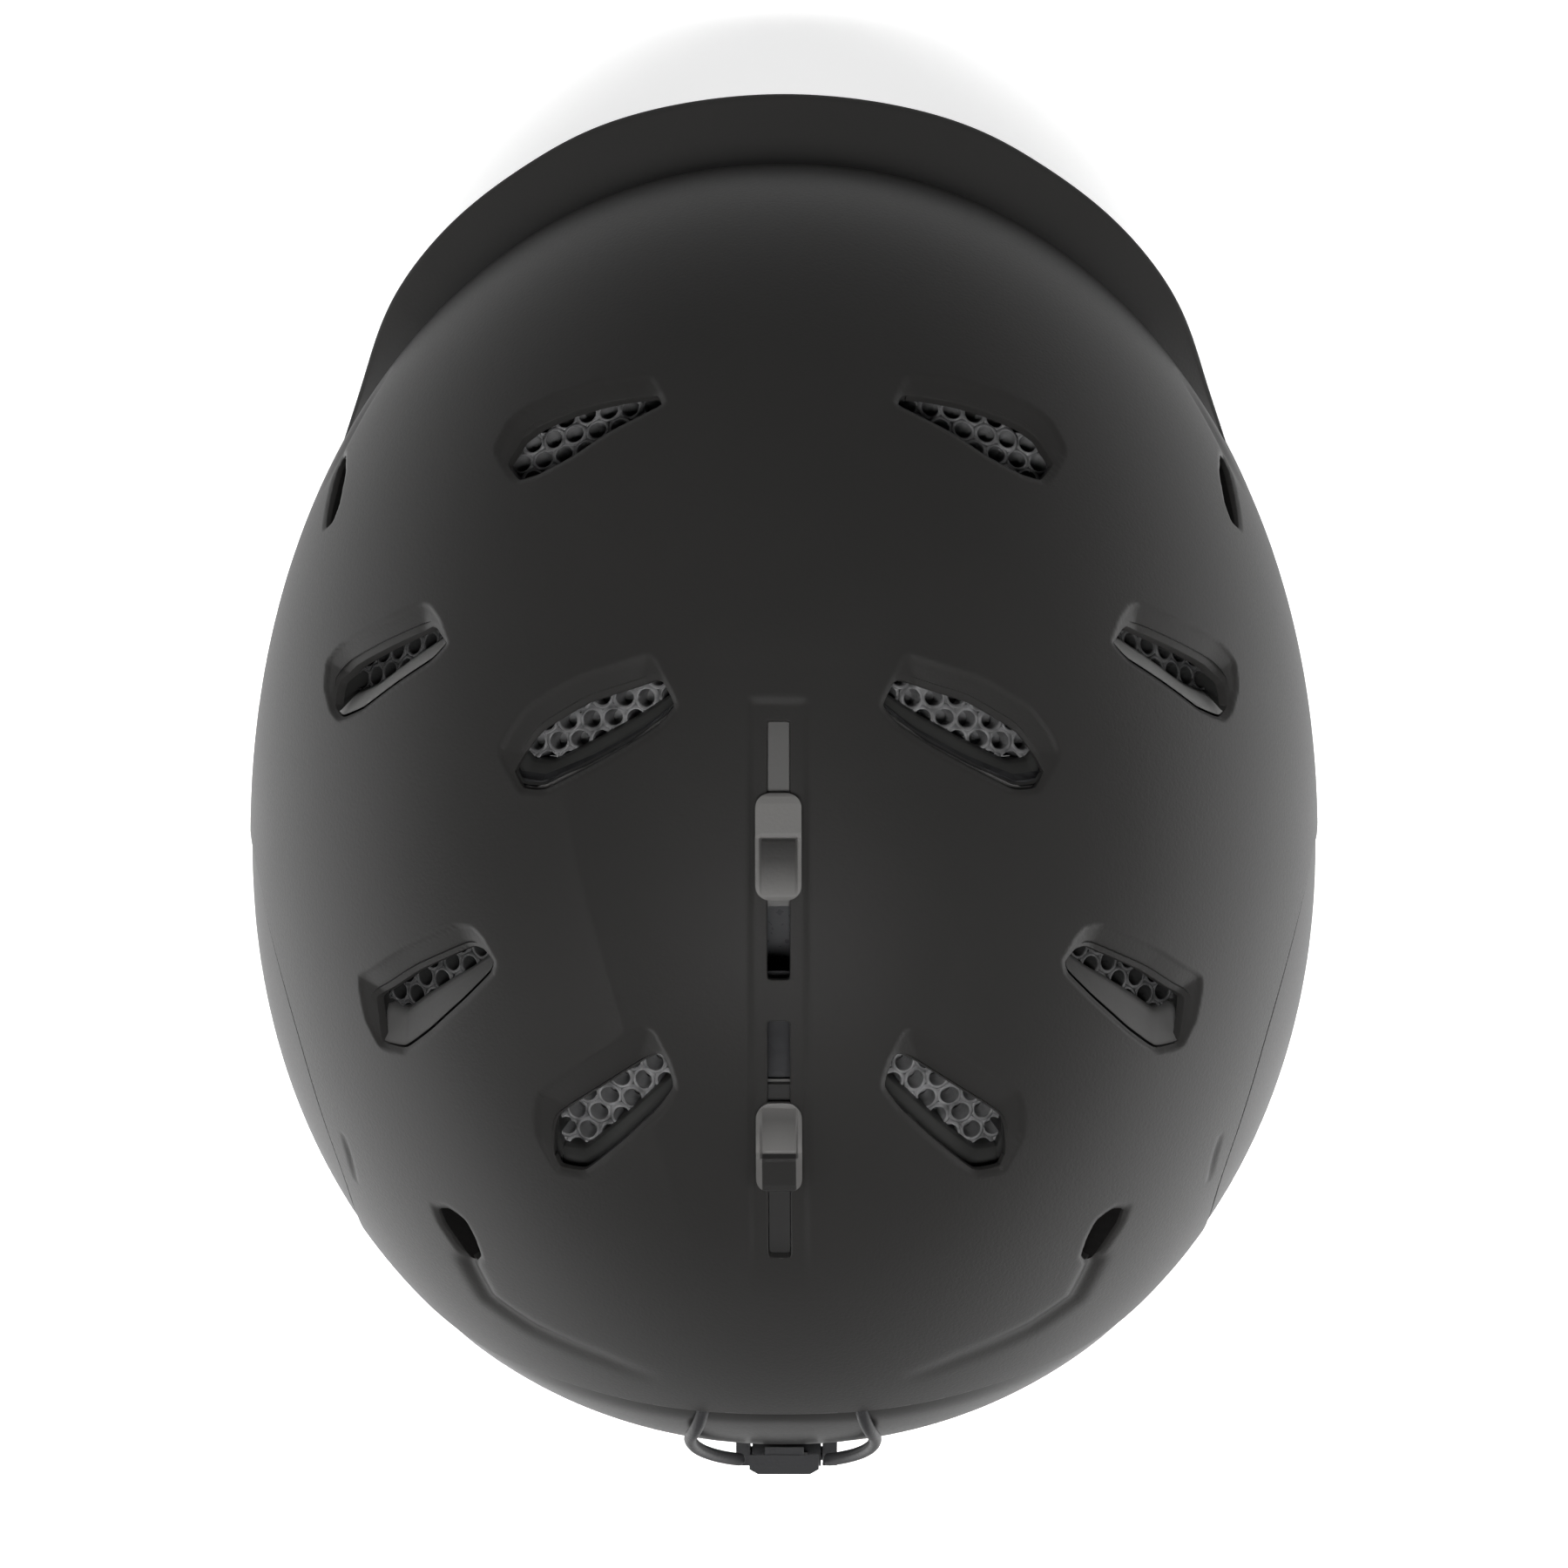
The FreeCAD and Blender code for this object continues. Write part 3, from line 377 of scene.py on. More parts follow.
def cloth(name, color, pitch, depth, rough=0.85, sheen=0.3):
    """Knit or weave: three crossed wave textures make the yarns, pitch mm apart."""
    m, nt, bsdf = new_material(name)
    place = add(nt, "TexCoord").outputs["Object"]
    noise = add(nt, "TexNoise", Vector=place, Scale=240.0, Detail=4.0).outputs["Fac"]
    yarns = [add(nt, "TexWave", Vector=place, Scale=314.0 / pitch / 2, Distortion=0.6, Detail=1.0,
                 bands_direction=axis).outputs["Fac"] for axis in ("X", "Y", "Z")]
    total = sum_of(nt, sum_of(nt, sum_of(nt, yarns[0], yarns[1]), yarns[2]), noise)
    tones = [(0.15, [c * 0.55 for c in color]), (0.85, [c * 1.5 for c in color])]
    bump = add(nt, "Bump", Height=total, Strength=depth, Distance=0.0006)
    gloss = add(nt, "MapRange", Value=noise, To_Min=rough - 0.08, To_Max=rough + 0.08)
    put(bsdf, Base_Color=ramp_of(nt, times(nt, total, 0.3), tones), Roughness=gloss.outputs["Result"],
        Normal=bump.outputs["Normal"], Sheen_Weight=sheen, Specular_IOR_Level=0.25)
    return m


# surface(name, colour, roughness, grain, ...)
moulded = dict(vary=0.06, rough_vary=0.03)
polished = dict(vary=0.08, rough_vary=0.04)
soft_black = surface("soft_black", (0.0135, 0.0131, 0.0127), 0.42, (1500, 0.12), **moulded)
side_black = surface("side_black", (0.015, 0.0146, 0.0142), 0.42, (1500, 0.08), **moulded)
gloss_black = surface("gloss_black", (0.013, 0.0127, 0.0124), 0.3, (1200, 0.05), vary=0.06, rough_vary=0.04)
# The brim's black is a little lighter than the shell's: painted light.
brim_black_painted_light = surface("brim_black_painted_light", (0.016, 0.0156, 0.0152), 0.52, (1500, 0.12), **moulded)
vent_black = surface("vent_black", (0.016, 0.016, 0.0155), 0.42, (1300, 0.08), **polished)
# Lighter copies of the throat black: painted light on the side vents' walls that face their ledges.
throat_painted_half_light = surface("throat_painted_half_light", (0.08, 0.079, 0.078), 0.4, (1300, 0.06), **polished)
throat_painted_light = surface("throat_painted_light", (0.24, 0.239, 0.236), 0.35, (1300, 0.06), **polished)
trim_black = surface("trim_black", 0.008, 0.55, (1100, 0.2), vary=0.15)
cell_rims = dict(grain=(900, 0.5), vary=0.55, rough_vary=0.12, large=420)
tube_grey = surface("tube_grey", (0.075, 0.075, 0.076), 0.42, **cell_rims)
# This and the next: darker copies of the tube colours, painted shade in the side vents' tubes.
tube_rims_painted_shade = surface("tube_rims_painted_shade", (0.03, 0.03, 0.0303), 0.42, **cell_rims)
tube_inside_painted_shade = surface("tube_inside_painted_shade", 0.012, 0.5, (900, 0.4), vary=0.3)
tube_dark = surface("tube_dark", (0.085, 0.085, 0.086), 0.45, (900, 0.3), vary=0.3, large=160)
knob_grey = surface("knob_grey", (0.085, 0.083, 0.081), 0.42, (1600, 0.12), **polished)
# Near-black: painted shade in the slot vents' throats and a painted shadow along the side seam.
painted_shadow_black = surface("painted_shadow_black", (0.004, 0.0038, 0.0037), 0.7, (900, 0.3), vary=0.2)
strip_grey = surface("strip_grey", (0.055, 0.054, 0.053), 0.45, (1600, 0.12), vary=0.08)
# A darker copy of the carrier grey: painted shade on the rear carrier.
strip_painted_shade = surface("strip_painted_shade", (0.02, 0.0197, 0.0195), 0.42, (1300, 0.06), **moulded)
track_black = surface("track_black", (0.007, 0.0066, 0.0062), 0.55, (500, 0.8), vary=0.9,
                      rough_vary=0.15, large=350, spec=0.3)
foam_black = surface("foam_black", (0.02, 0.02, 0.021), 0.75, (330, 0.8), 0.3, pattern="VORONOI", large=60)
nylon = surface("nylon", (0.02, 0.02, 0.021), 0.45, (1400, 0.2), vary=0.15)
acetal = surface("acetal", (0.018, 0.018, 0.019), 0.38, (1300, 0.12), vary=0.12)
rubber = surface("rubber", 0.016, 0.7, (900, 0.3), vary=0.2)
steel = surface("steel", (0.25, 0.25, 0.26), 0.32, (1600, 0.15), vary=0.2, metallic=1.0)
nickel = surface("nickel", (0.55, 0.54, 0.52), 0.2, (1500, 0.08), vary=0.1, metallic=1.0)
slip_sheet = surface("slip_sheet", (0.035, 0.036, 0.038), 0.3, (700, 0.05), vary=0.1, coat=0.2)
knit = cloth("knit", (0.03, 0.031, 0.034), pitch=1.3, depth=0.5)
fleece = surface("fleece", (0.026, 0.027, 0.03), 0.95, (700, 0.9), vary=0.3, sheen=0.5, large=90,
                 spec=0.2)
webbing = cloth("webbing", (0.018, 0.018, 0.02), pitch=1.6, depth=0.8, rough=0.7, sheen=0.15)


def paint_light_and_shade(mat, darkest):
    """Scales a material's colour by the surface attribute painted_shade, from darkest to 1: painted light
    and shade.
    """
    nt = mat.node_tree
    bsdf = nt.nodes["Principled BSDF"]
    painted_shade = add(nt, "Attribute", attribute_name="painted_shade").outputs["Fac"]
    span = add(nt, "MapRange", Value=painted_shade, To_Min=darkest).outputs["Result"]
    plain = bsdf.inputs["Base Color"].links[0].from_socket
    put(bsdf, Base_Color=add(nt, "VectorMath", operation="SCALE", _0=plain, Scale=span).outputs["Vector"])


# Painted light and shade on the thumb pieces: their grey is scaled by the values that knob() stores.
paint_light_and_shade(knob_grey, 0.16)


# ---- vents
# Left half in plan, mm. lean: how far (outwards, rearwards) the tunnel has moved FOOT_DOWN under its mouth.
# scoop: how far the sunken apron reaches (outwards, forwards) beyond the mouth. ramp: the apron's slope.
# comb: how deep the tubes start; a slot vent has none. ledge: its direction in plan, width and taper.
# lane: a sliding shutter crosses the throat.
FOOT_DOWN = 9.0
VENTS = {
    "front": dict(
        mouth=[(25, -80.2), (35.3, -79.1), (42.6, -77.1), (49.8, -74.2), (53.5, -71.5), (56.5, -65.7),
               (53.8, -62.1), (49.8, -63.3), (42.6, -67), (35.3, -72), (28.1, -75.7), (23.9, -77.8)],
        lean=(2.0, -4.5), scoop=(2.5, 4.0), ramp=0.22, comb=7.0),
    "side": dict(
        mouth=[(89.3, -24.9), (72.1, -32.9), (70.7, -32.2), (68.3, -28.9), (71.6, -25.3), (78.8, -20.7),
               (86.1, -15.3), (90.6, -13.5), (92.4, -15.9), (92.2, -21.5)],
        lean=(3.0, -5.6), scoop=(3.2, 4.0), ramp=0.4, comb=9.0, ledge=((-0.61, 0.79), 3.3, 0.05)),
    "mid": dict(
        mouth=[(49.1, -11.1), (39, -17.1), (31.7, -19.3), (25, -21.5), (23.6, -21.3), (20.8, -15.9),
               (24.5, -11.7), (31.7, -7.2), (39, -3.2), (48, 1.4), (52.6, 1), (54.4, -2.6), (52.6, -6.3)],
        lean=(0.0, -8.4), scoop=(2.5, 4.0), ramp=0.25, comb=8.0, lane=True),
    "rear_side": dict(
        mouth=[(80.8, 41.8), (75.2, 38.1), (63.4, 32.9), (60.7, 33.6), (58.5, 36), (58.9, 38.5),
               (64.3, 43.9), (71.6, 50.5), (77, 54.5), (82.4, 53.2), (84.3, 43.6)],
        lean=(3.4, -4.2), scoop=(2.5, 3.5), ramp=0.4, comb=9.0, ledge=((-0.63, 0.77), 3.6, 0.75)),
    "rear": dict(
        mouth=[(46.6, 70.8), (45.8, 68), (42.6, 65.7), (28.1, 56.6), (24.5, 54.8), (23, 55.9), (21.2, 61.7),
               (24.5, 66.2), (31.7, 72.9), (39.9, 79.5), (45.3, 78.5), (46.6, 75.3)],
        lean=(0.2, -1.7), scoop=(2.2, 5.0), ramp=0.3, comb=8.5, ledge=((-0.66, 0.75), 2.2, 0.35), lane=True),
    "slot_front": dict(
        mouth=[(90.6, -68.4), (90.4, -64.2), (91.5, -57.9), (92.8, -54.3), (94.6, -52.6), (94.3, -56.5),
               (93.3, -62.4), (91.9, -68.2)],
        lean=(-3.0, 0.0), scoop=(0.0, 0.0), ramp=0.2, comb=0.0),
    "slot_rear": dict(
        mouth=[(71.0, 87.4), (68.3, 87.3), (64.7, 89.8), (62.9, 93.4), (61.6, 97.2), (62.9, 98.5),
               (64.7, 98.1), (67.4, 94.3), (69.8, 90.7)],
        lean=(-3.0, -2.0), scoop=(0.6, 1.0), ramp=0.3, comb=0.0),
}
for v in VENTS.values():
    pts = np.array(v["mouth"], float)
    c = pts.mean(0)
    v["centre"] = np.array([c[0], c[1], float(top(c[0], c[1]))])
    v["n"] = normal(v["centre"])
    e1 = np.array([1.0, 0, 0]) - v["n"] * v["n"][0]
    v["e1"] = e1 / np.linalg.norm(e1)
    v["e2"] = np.cross(v["n"], v["e1"])
    on = np.column_stack([pts, top(pts[:, 0], pts[:, 1])]) - v["centre"]
    flat = np.column_stack([on @ v["e1"], on @ v["e2"]])
    v["outline"] = chaikin(chaikin(flat, 1, keep=0.12), 2)
    lean = np.array([*v["lean"], 0.0])
    v["shift"] = lean - v["n"] * (lean @ v["n"])
    scoop = np.array([v["scoop"][0], -v["scoop"][1], 0.0])
    v["reach"] = np.array([scoop @ v["e1"], scoop @ v["e2"]])


def lifted(path):
    """Points of the dome over a line in plan."""
    return [(x, y, float(top(x, y))) for x, y in path]


# Grooves: inwards from the rear slot vent, behind the side panel, and forwards from the front slot vent.
TRAIL = lifted([(64.5, 98.5), (60.5, 106), (51.5, 112.0), (37, 118.0), (24.8, 122.5)])
NICK = lifted([(90.5, 72), (89.2, 77), (88, 82)])
CREASE = [(92.5, -60, 112.0), (90.6, -69, 110.0), (87.5, -77, 108.0), (82.0, -86.5, 106.0)]
# Side panel's outline in side view (y, z), and the rear panel's upper edge from behind (x, z).
SIDE = [(-22, 40), (-4, 80), (4, 91), (9, 97), (15, 114), (31, 125), (49, 130), (65, 128), (80, 122),
        (88, 112), (93, 96), (96, 78), (98, 30)]
ARCH = [(-100, 70), (-88, 86), (-75, 98), (-54, 117), (-30, 127), (0, 131), (30, 127), (54, 117), (75, 98),
        (88, 86), (100, 70)]
ARCH_ENDS, REAR_FROM, TRIM_HIGH = (-100, 100), 96.0, 3.0
# Slider channel on top and the slots in it.
CHANNEL_X, CHANNEL_Y, CHANNEL_DEPTH = 5.7, (-17.0, 103.0), 0.45
SLOTS = ((-13.1, 40.0), (48.1, 97.0))
SLOT_HALF, SLOT_CORNER, CROWN_Z = 2.5, 0.9, 150
VENT_RADIUS, VENT_BACK, FAR = 42, -22, 60.0
APRON_EDGE, APRON_FALL = 0.9, 0.36


def arc_groove(q, path, deep, half):
    """Groove along a line that fades out at both ends."""
    d, w = line_distance(path, q)
    return deep * np.sin(np.clip(w, 0, 1) * pi) ** 0.5 * np.exp(-(d / half) ** 2)


def sunk(p):
    """How far the skin lies under the plain dome, and the distance to the nearest vent mouth."""
    q = np.column_stack([np.abs(p[:, 0]), p[:, 1], p[:, 2]])
    depth, mouth = np.zeros(len(q)), np.full(len(q), FAR)
    for v in VENTS.values():
        rel = q - v["centre"]
        near = np.where((np.linalg.norm(rel, axis=1) < VENT_RADIUS) & (rel @ v["n"] > VENT_BACK))[0]
        if not len(near):
            continue
        a, b = rel[near] @ v["e1"], rel[near] @ v["e2"]
        d = sdf(v["outline"], a, b)
        apron = d.copy()
        for k in (0.25, 0.5, 0.75, 1.0):
            apron = np.minimum(apron, sdf(v["outline"], a - v["reach"][0] * k, b - v["reach"][1] * k))
        inside = np.clip(APRON_EDGE - apron, 0, 12)
        fall = APRON_FALL * smooth(inside, 0, 0.55) * (v["comb"] > 0) + v["ramp"] * (
            np.sqrt(inside ** 2 + 0.04) - 0.2)
        lip = 0.25 * np.clip(1 - d / APRON_EDGE, 0, 1) ** 2
        depth[near] = np.maximum(depth[near], fall + lip)
        mouth[near] = np.minimum(mouth[near], d)
    d, w = line_distance(TRAIL, q)
    depth += 1.5 * (1 - w) ** 0.8 * np.exp(-(d / 2.3) ** 2) * smooth(q[:, 1], 92, 99)
    depth += arc_groove(q, NICK, 0.55, 0.9) + arc_groove(q, CREASE, 0.9, 3.0)
    ends = smooth(p[:, 1], CHANNEL_Y[0] - 0.8, CHANNEL_Y[0] + 0.8) * (
        1 - smooth(p[:, 1], CHANNEL_Y[1] - 12, CHANNEL_Y[1] + 3))
    across = 1 - smooth(q[:, 0], CHANNEL_X - 0.7, CHANNEL_X + 0.7)
    depth += CHANNEL_DEPTH * across * ends * (p[:, 2] > CROWN_Z)
    return depth, mouth


def box_sdf(u, v, a, b, c, d, r):
    """Distance to a rounded rectangle a..b by c..d."""
    x = np.abs(u - (a + b) / 2) - (b - a) / 2 + r
    y = np.abs(v - (c + d) / 2) - (d - c) / 2 + r
    return np.hypot(np.maximum(x, 0), np.maximum(y, 0)) + np.minimum(np.maximum(x, y), 0) - r


# Rays from FAN inside the dome, turned about the side axis (alpha) and away from it (theta).
FAN = np.array([0.0, 12.0, 55.0])
ROWS, COLS = ((800, 700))
alpha = np.radians(np.linspace(-9, 207, ROWS))[:, None]
theta = np.radians(np.linspace(3, 177, COLS))[None, :]
fan = np.broadcast_arrays(np.cos(theta), -np.sin(theta) * np.cos(alpha), np.sin(theta) * np.sin(alpha))
P = ray(FAN, np.stack(fan, -1)).reshape(-1, 3)
quads = grid_faces(ROWS, COLS)
TRI = np.vstack([quads[:, [0, 1, 2]], quads[:, [0, 2, 3]]])
flip = np.einsum("ij,ij->i", np.cross(P[TRI[:, 1]] - P[TRI[:, 0]], P[TRI[:, 2]] - P[TRI[:, 0]]),
                 P[TRI[:, 0]] - FAN) < 0
TRI[flip] = TRI[flip][:, ::-1]
N = normal(P)
PX, PY, PZ = P.T
DEPTH, MOUTH = sunk(P)
f_rim = PZ - rim_z(PY) - TRIM_HIGH
f_side = sdf(chaikin(SIDE, 2), PY, PZ)
arch_z = cubic(*np.transpose(ARCH), np.clip(PX, *ARCH_ENDS))
f_rear = np.maximum(REAR_FROM - PY, PZ - arch_z)
slot_field = np.minimum(*[box_sdf(PX, PY, -SLOT_HALF, SLOT_HALF, *ends, SLOT_CORNER) for ends in SLOTS])
slot_field = np.where(PZ > CROWN_Z, slot_field, FAR)

# Areas over the two shutters (half width, middle, half length), where the shell's walls end above the lane.
LANES = ((62, -19, 28), (56, 73, 26))
LANE_INNER, LANE_LOW, LANE_TOP = 7, 140, 2.2


def clear_of_lanes(v):
    """Lifts what hangs down into a shutter's lane to the top of the lane."""
    x = np.abs(v[:, 0])
    over = np.any([(x < wide) & (np.abs(v[:, 1] - middle) < long) for wide, middle, long in LANES], axis=0)
    near = over & (v[:, 2] > LANE_LOW) & (x > LANE_INNER)
    p, out = v[near], normal(v[near])
    rel = p - np.array([0.0, MID_Y, WIDE_Z])
    under = (rel * out).sum(1) * (level(*p.T) ** (-1 / POWER) - 1)
    v[near] = p + out * np.maximum(under - LANE_TOP, 0)[:, None]


def skin(name, field, lift, mat, rows, replaced, select=None):
    """Part of the shell where field > 0, with its edge turned inwards; lift raises it, in mm."""
    keep = TRI[(field[TRI] > 0).any(1)]
    if select is not None:
        keep = keep[select[keep].all(1)]
    v, f, n, border = clip(P - N * (DEPTH - lift)[:, None], keep, field, N)
    v, f = wall(v, f, n, border, rows)
    clear_of_lanes(v)
    ob = make(name, v, f, mat, "helmet")
    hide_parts(*replaced)


ROUND_EDGE = [(0.1, 0.05), (0.18, 0.22)]
SHELL_EDGE = ROUND_EDGE + [(0.2, 2.0)]
# Distances of the skins from the lines between them, and how far the lower ones lie under the dome.
TOP_GAP, SIDE_GAP, REAR_GAP, ARCH_GAP, SEAM_SHADOW_HALF = 0.9, 0.8, 0.4, 0.35, 1.9
SIDE_SUNK, SEAM_SHADOW_SUNK, HEM_SUNK = 0.45, 1.5, 1.5
top_field = np.minimum.reduce([MOUTH, f_rim, f_side - TOP_GAP, f_rear - ARCH_GAP, slot_field])
skin("shell_top", top_field, 0.0, soft_black, SHELL_EDGE, ["top_shell"])
side_field = np.minimum(f_rim, -f_side - SIDE_GAP)
for tag, half in (("left", PX > 0), ("right", PX < 0)):
    skin("shell_side_" + tag, side_field, -SIDE_SUNK, side_black, SHELL_EDGE, ["side_panel_" + tag],
         half)
# Near-black strip under the side seam: a painted shadow.
seam_field = np.minimum.reduce([f_rim, SEAM_SHADOW_HALF - np.abs(f_side), f_rear])
skin("side_seam_painted_shadow", seam_field, -SEAM_SHADOW_SUNK, painted_shadow_black, ROUND_EDGE, [])
hem = -HEM_SUNK * np.exp(-(np.clip(-f_rear, 0, 40) / (2.2 + 0.05 * np.abs(PX))) ** 2)
rear_field = np.minimum.reduce([f_rim, -f_rear, f_side - REAR_GAP])
skin("shell_rear", rear_field, hem, gloss_black, SHELL_EDGE, ["rear_panel"])


# ---- vent tunnels and tube cores
def on_dome(v, flat):
    """Points of the dome over places in a vent's tangent plane."""
    o = v["centre"] + np.outer(flat[:, 0], v["e1"]) + np.outer(flat[:, 1], v["e2"])
    return ray(o - v["n"] * 45.0, v["n"] + 0 * o)


def slide(v, down):
    """How far a vent's tunnel has moved sideways at a depth."""
    return v["shift"] * min(down, FOOT_DOWN) / FOOT_DOWN


def ledge_of(v):
    """Per point of the mouth: how far the ledge narrows the foot, and how much the wall faces it, which
    decides where painted light goes.
    """
    ring = v["outline"]
    if "ledge" not in v:
        return np.zeros((len(ring), 3)), np.zeros(len(ring))
    plan, size, taper = v["ledge"]
    w = np.array([*plan, 0.0])
    w -= v["n"] * (w @ v["n"])
    flat = np.array([w @ v["e1"], w @ v["e2"]])
    edge = np.roll(ring, -1, 0) - np.roll(ring, 1, 0)
    out = np.column_stack([edge[:, 1], -edge[:, 0]])
    out /= np.linalg.norm(out, axis=1, keepdims=True) + 1e-9
    if ((ring - ring.mean(0)) * out).sum() < 0:
        out = -out
    facing = smooth(out @ (flat / np.linalg.norm(flat)), 0.1, 0.7)
    along = ring @ np.array([-flat[1], flat[0]]) / np.linalg.norm(flat)
    along *= np.sign(v["e1"][0] * -flat[1] + v["e2"][0] * flat[0])
    share = (along - along.min()) / (along.max() - along.min())
    return -np.outer(facing * size * smooth(share, -0.05, taper), w), facing


LEDGE_TOP, LANE_ROOF, LANE_FLOOR = 1.4, 2.0, 6.3


def tunnel(v, depth):
    """Throat from the mouth down: vertices, plain faces and the faces of the ledge, which take painted
    light.
    """
    base = on_dome(v, v["outline"])
    step, facing = ledge_of(v)
    foot = min(8.6, max(v["comb"], 7.4)) - 0.2
    downs = [1.25, 1.6, LANE_ROOF, LANE_FLOOR, 6.4, 7.0, foot, depth]
    rows = [base - v["n"] * d + slide(v, d) + step * smooth(min(d, foot), LEDGE_TOP, foot) for d in downs]
    roof, floor = downs.index(LANE_ROOF), downs.index(LANE_FLOOR)
    if "lane" in v:        # the lower part starts with a collar, straight below the opening above it
        rows[floor] = rows[roof] - np.array([0, 0, (LANE_FLOOR - LANE_ROOF) / v["n"][2]])
    faces = grid_faces(len(downs), len(base), wrap=True)
    if "lane" in v:        # the shutter passes between roof and floor
        faces = np.delete(faces, np.s_[roof * len(base):floor * len(base)], 0)
    # The walls that face the ledge take a lighter material as painted light.
    painted_lit = facing[faces % len(base)].mean(1) > 0.45
    return np.vstack(rows), faces[~painted_lit].tolist(), faces[painted_lit].tolist()


def cap_of(v, depth):
    """Fan of faces that closes a tunnel at a depth."""
    base = on_dome(v, v["outline"]) - v["n"] * depth + slide(v, depth)
    return np.vstack([base, base.mean(0)]), [(i, (i + 1) % len(base), len(base)) for i in range(len(base))]


def merged(parts):
    """One list of vertices and faces from several."""
    vs, fs, n = [], [], 0
    for verts, faces in parts:
        vs.append(np.asarray(verts))
        fs += [tuple(int(i) + n for i in f) for f in faces]
        n += len(verts)
    return np.vstack(vs), fs


def flipped(part):
    """Mirror image on the other side of the helmet."""
    verts, faces = part
    return np.asarray(verts) * np.array([-1.0, 1, 1]), [tuple(reversed([int(i) for i in f])) for f in faces]


TUBE_PITCH, TUBE_WALL, TUBE_LONG, TUBE_SIDES = 4.75, 0.55, 6.0, 18
TUBE_OUTER, TUBE_BORE = TUBE_PITCH / 2, TUBE_PITCH / 2 - TUBE_WALL
# Radius and depth below the rim, from the outside of a tube over its rim to the inside.
TUBE_PROFILE = ((TUBE_OUTER + 0.12, TUBE_LONG), (TUBE_PITCH / 1.73, 0.45), (TUBE_OUTER, 0.1),
                (TUBE_OUTER - 0.22, 0), (TUBE_OUTER - 0.5, 0.1), (TUBE_BORE, 0.4),
                (TUBE_BORE - 0.05, TUBE_LONG))
ROW_PITCH = TUBE_PITCH * 0.866


def tubes(v):
    """Field of thin, slightly uneven tubes behind a vent's mouth."""
    ring = v["outline"]
    lo, hi = ring.min(0) - 6, ring.max(0) + 6
    rows, cols = int((hi[1] - lo[1]) / ROW_PITCH) + 2, int((hi[0] - lo[0]) / TUBE_PITCH) + 2
    c = np.array([(lo[0] + TUBE_PITCH * (i + 0.5 * (j % 2)), lo[1] + ROW_PITCH * j)
                  for j in range(rows) for i in range(cols)])
    c = c[sdf(ring, c[:, 0], c[:, 1]) < 3.2]
    c = c + rng.normal(0, 0.1, c.shape)
    t = np.linspace(0, 2 * pi, TUBE_SIDES, endpoint=False)
    parts = []
    for mid in on_dome(v, c):
        start = v["comb"] + rng.normal(0, 0.12)
        squeeze = 1 + rng.normal(0, 0.03)
        rings = []
        for r, down in TUBE_PROFILE:
            p = mid - v["n"] * (start + down) + slide(v, start + down)
            rings.append(p + np.outer(np.cos(t) * r * squeeze, v["e1"])
                         + np.outer(np.sin(t) * r / squeeze, v["e2"]))
        parts.append((np.vstack(rings), grid_faces(len(rings), TUBE_SIDES, wrap=True)))
    return merged(parts)


def tube_block(name, side, part, rims, inside):
    """Tube core of one vent: the rims in one material, the two long rows of faces in another."""
    ob = make("tubes_%s_%s" % (name, side), part[0], part[1], inside, "helmet")
    ob.data.materials.append(rims)
    last = len(TUBE_PROFILE) - 2
    row = np.arange(len(ob.data.polygons)) // TUBE_SIDES % (last + 1)
    ob.data.polygons.foreach_set("material_index", ((row > 0) & (row < last)).astype(np.int32))
    sharpen(ob, 50)
    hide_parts("honeycomb_%s_%s" % (name, side))


# Side vents: their ledge walls take painted light, their tubes painted shade.
PAINTED_VENTS = {"side": "_light", "rear_side": "_mid"}
throats, backs = [], []
for name, v in VENTS.items():
    is_slot = v["comb"] == 0
    deep = 14.0 if is_slot else v["comb"] + 7.0
    verts, plain, painted_lit = tunnel(v, deep)
    # Slot throats take the near-black material: painted shade.
    throats.append(("_deep" if is_slot else "", (verts, plain)))
    if painted_lit:
        throats.append((PAINTED_VENTS.get(name, ""), (verts, painted_lit)))
    back = cap_of(v, deep - 0.5)
    backs += [back, flipped(back)]
    if not is_slot:
        core = tubes(v)
        # The side vents' tubes take the darker copies: painted shade.
        shades = (tube_rims_painted_shade, tube_inside_painted_shade) if name in PAINTED_VENTS else (tube_grey, tube_dark)
        for side, part in (("left", core), ("right", flipped(core))):
            tube_block(name, side, part, *shades)
# The _light and _mid throats carry painted light.
for tag, mat in (("", vent_black), ("_deep", painted_shadow_black), ("_mid", throat_painted_half_light), ("_light", throat_painted_light)):
    parts = [p for key, p in throats if key == tag]
    ob = make("vent_throats" + tag, *merged(parts + [flipped(p) for p in parts]), mat, "helmet")
ob = make("vent_backing", *merged(backs), tube_dark, "helmet", smooth_faces=False)


# ---- vent slider knobs
KNOB_HALF, KNOB_CORNER, KNOB_ROWS, KNOB_COLS = 4.75, 3.1, 110, 56
# The second value: the least painted light on a thumb piece's rails.
KNOB_FOOT, RAIL_PAINTED_LIGHT = 0.72, 0.62


# Height and rail height from a thumb piece's high end to its low end.
HUMP = [(1.1, 1.1), (1.75, 1.75), (2.05, 2.05), (2.15, 2.15), (1.95, 2.1), (0.55, 2.0), (0.25, 1.9),
        (0.35, 1.65), (0.95, 1.35), (1.2, 1.2), (0.9, 0.9)]


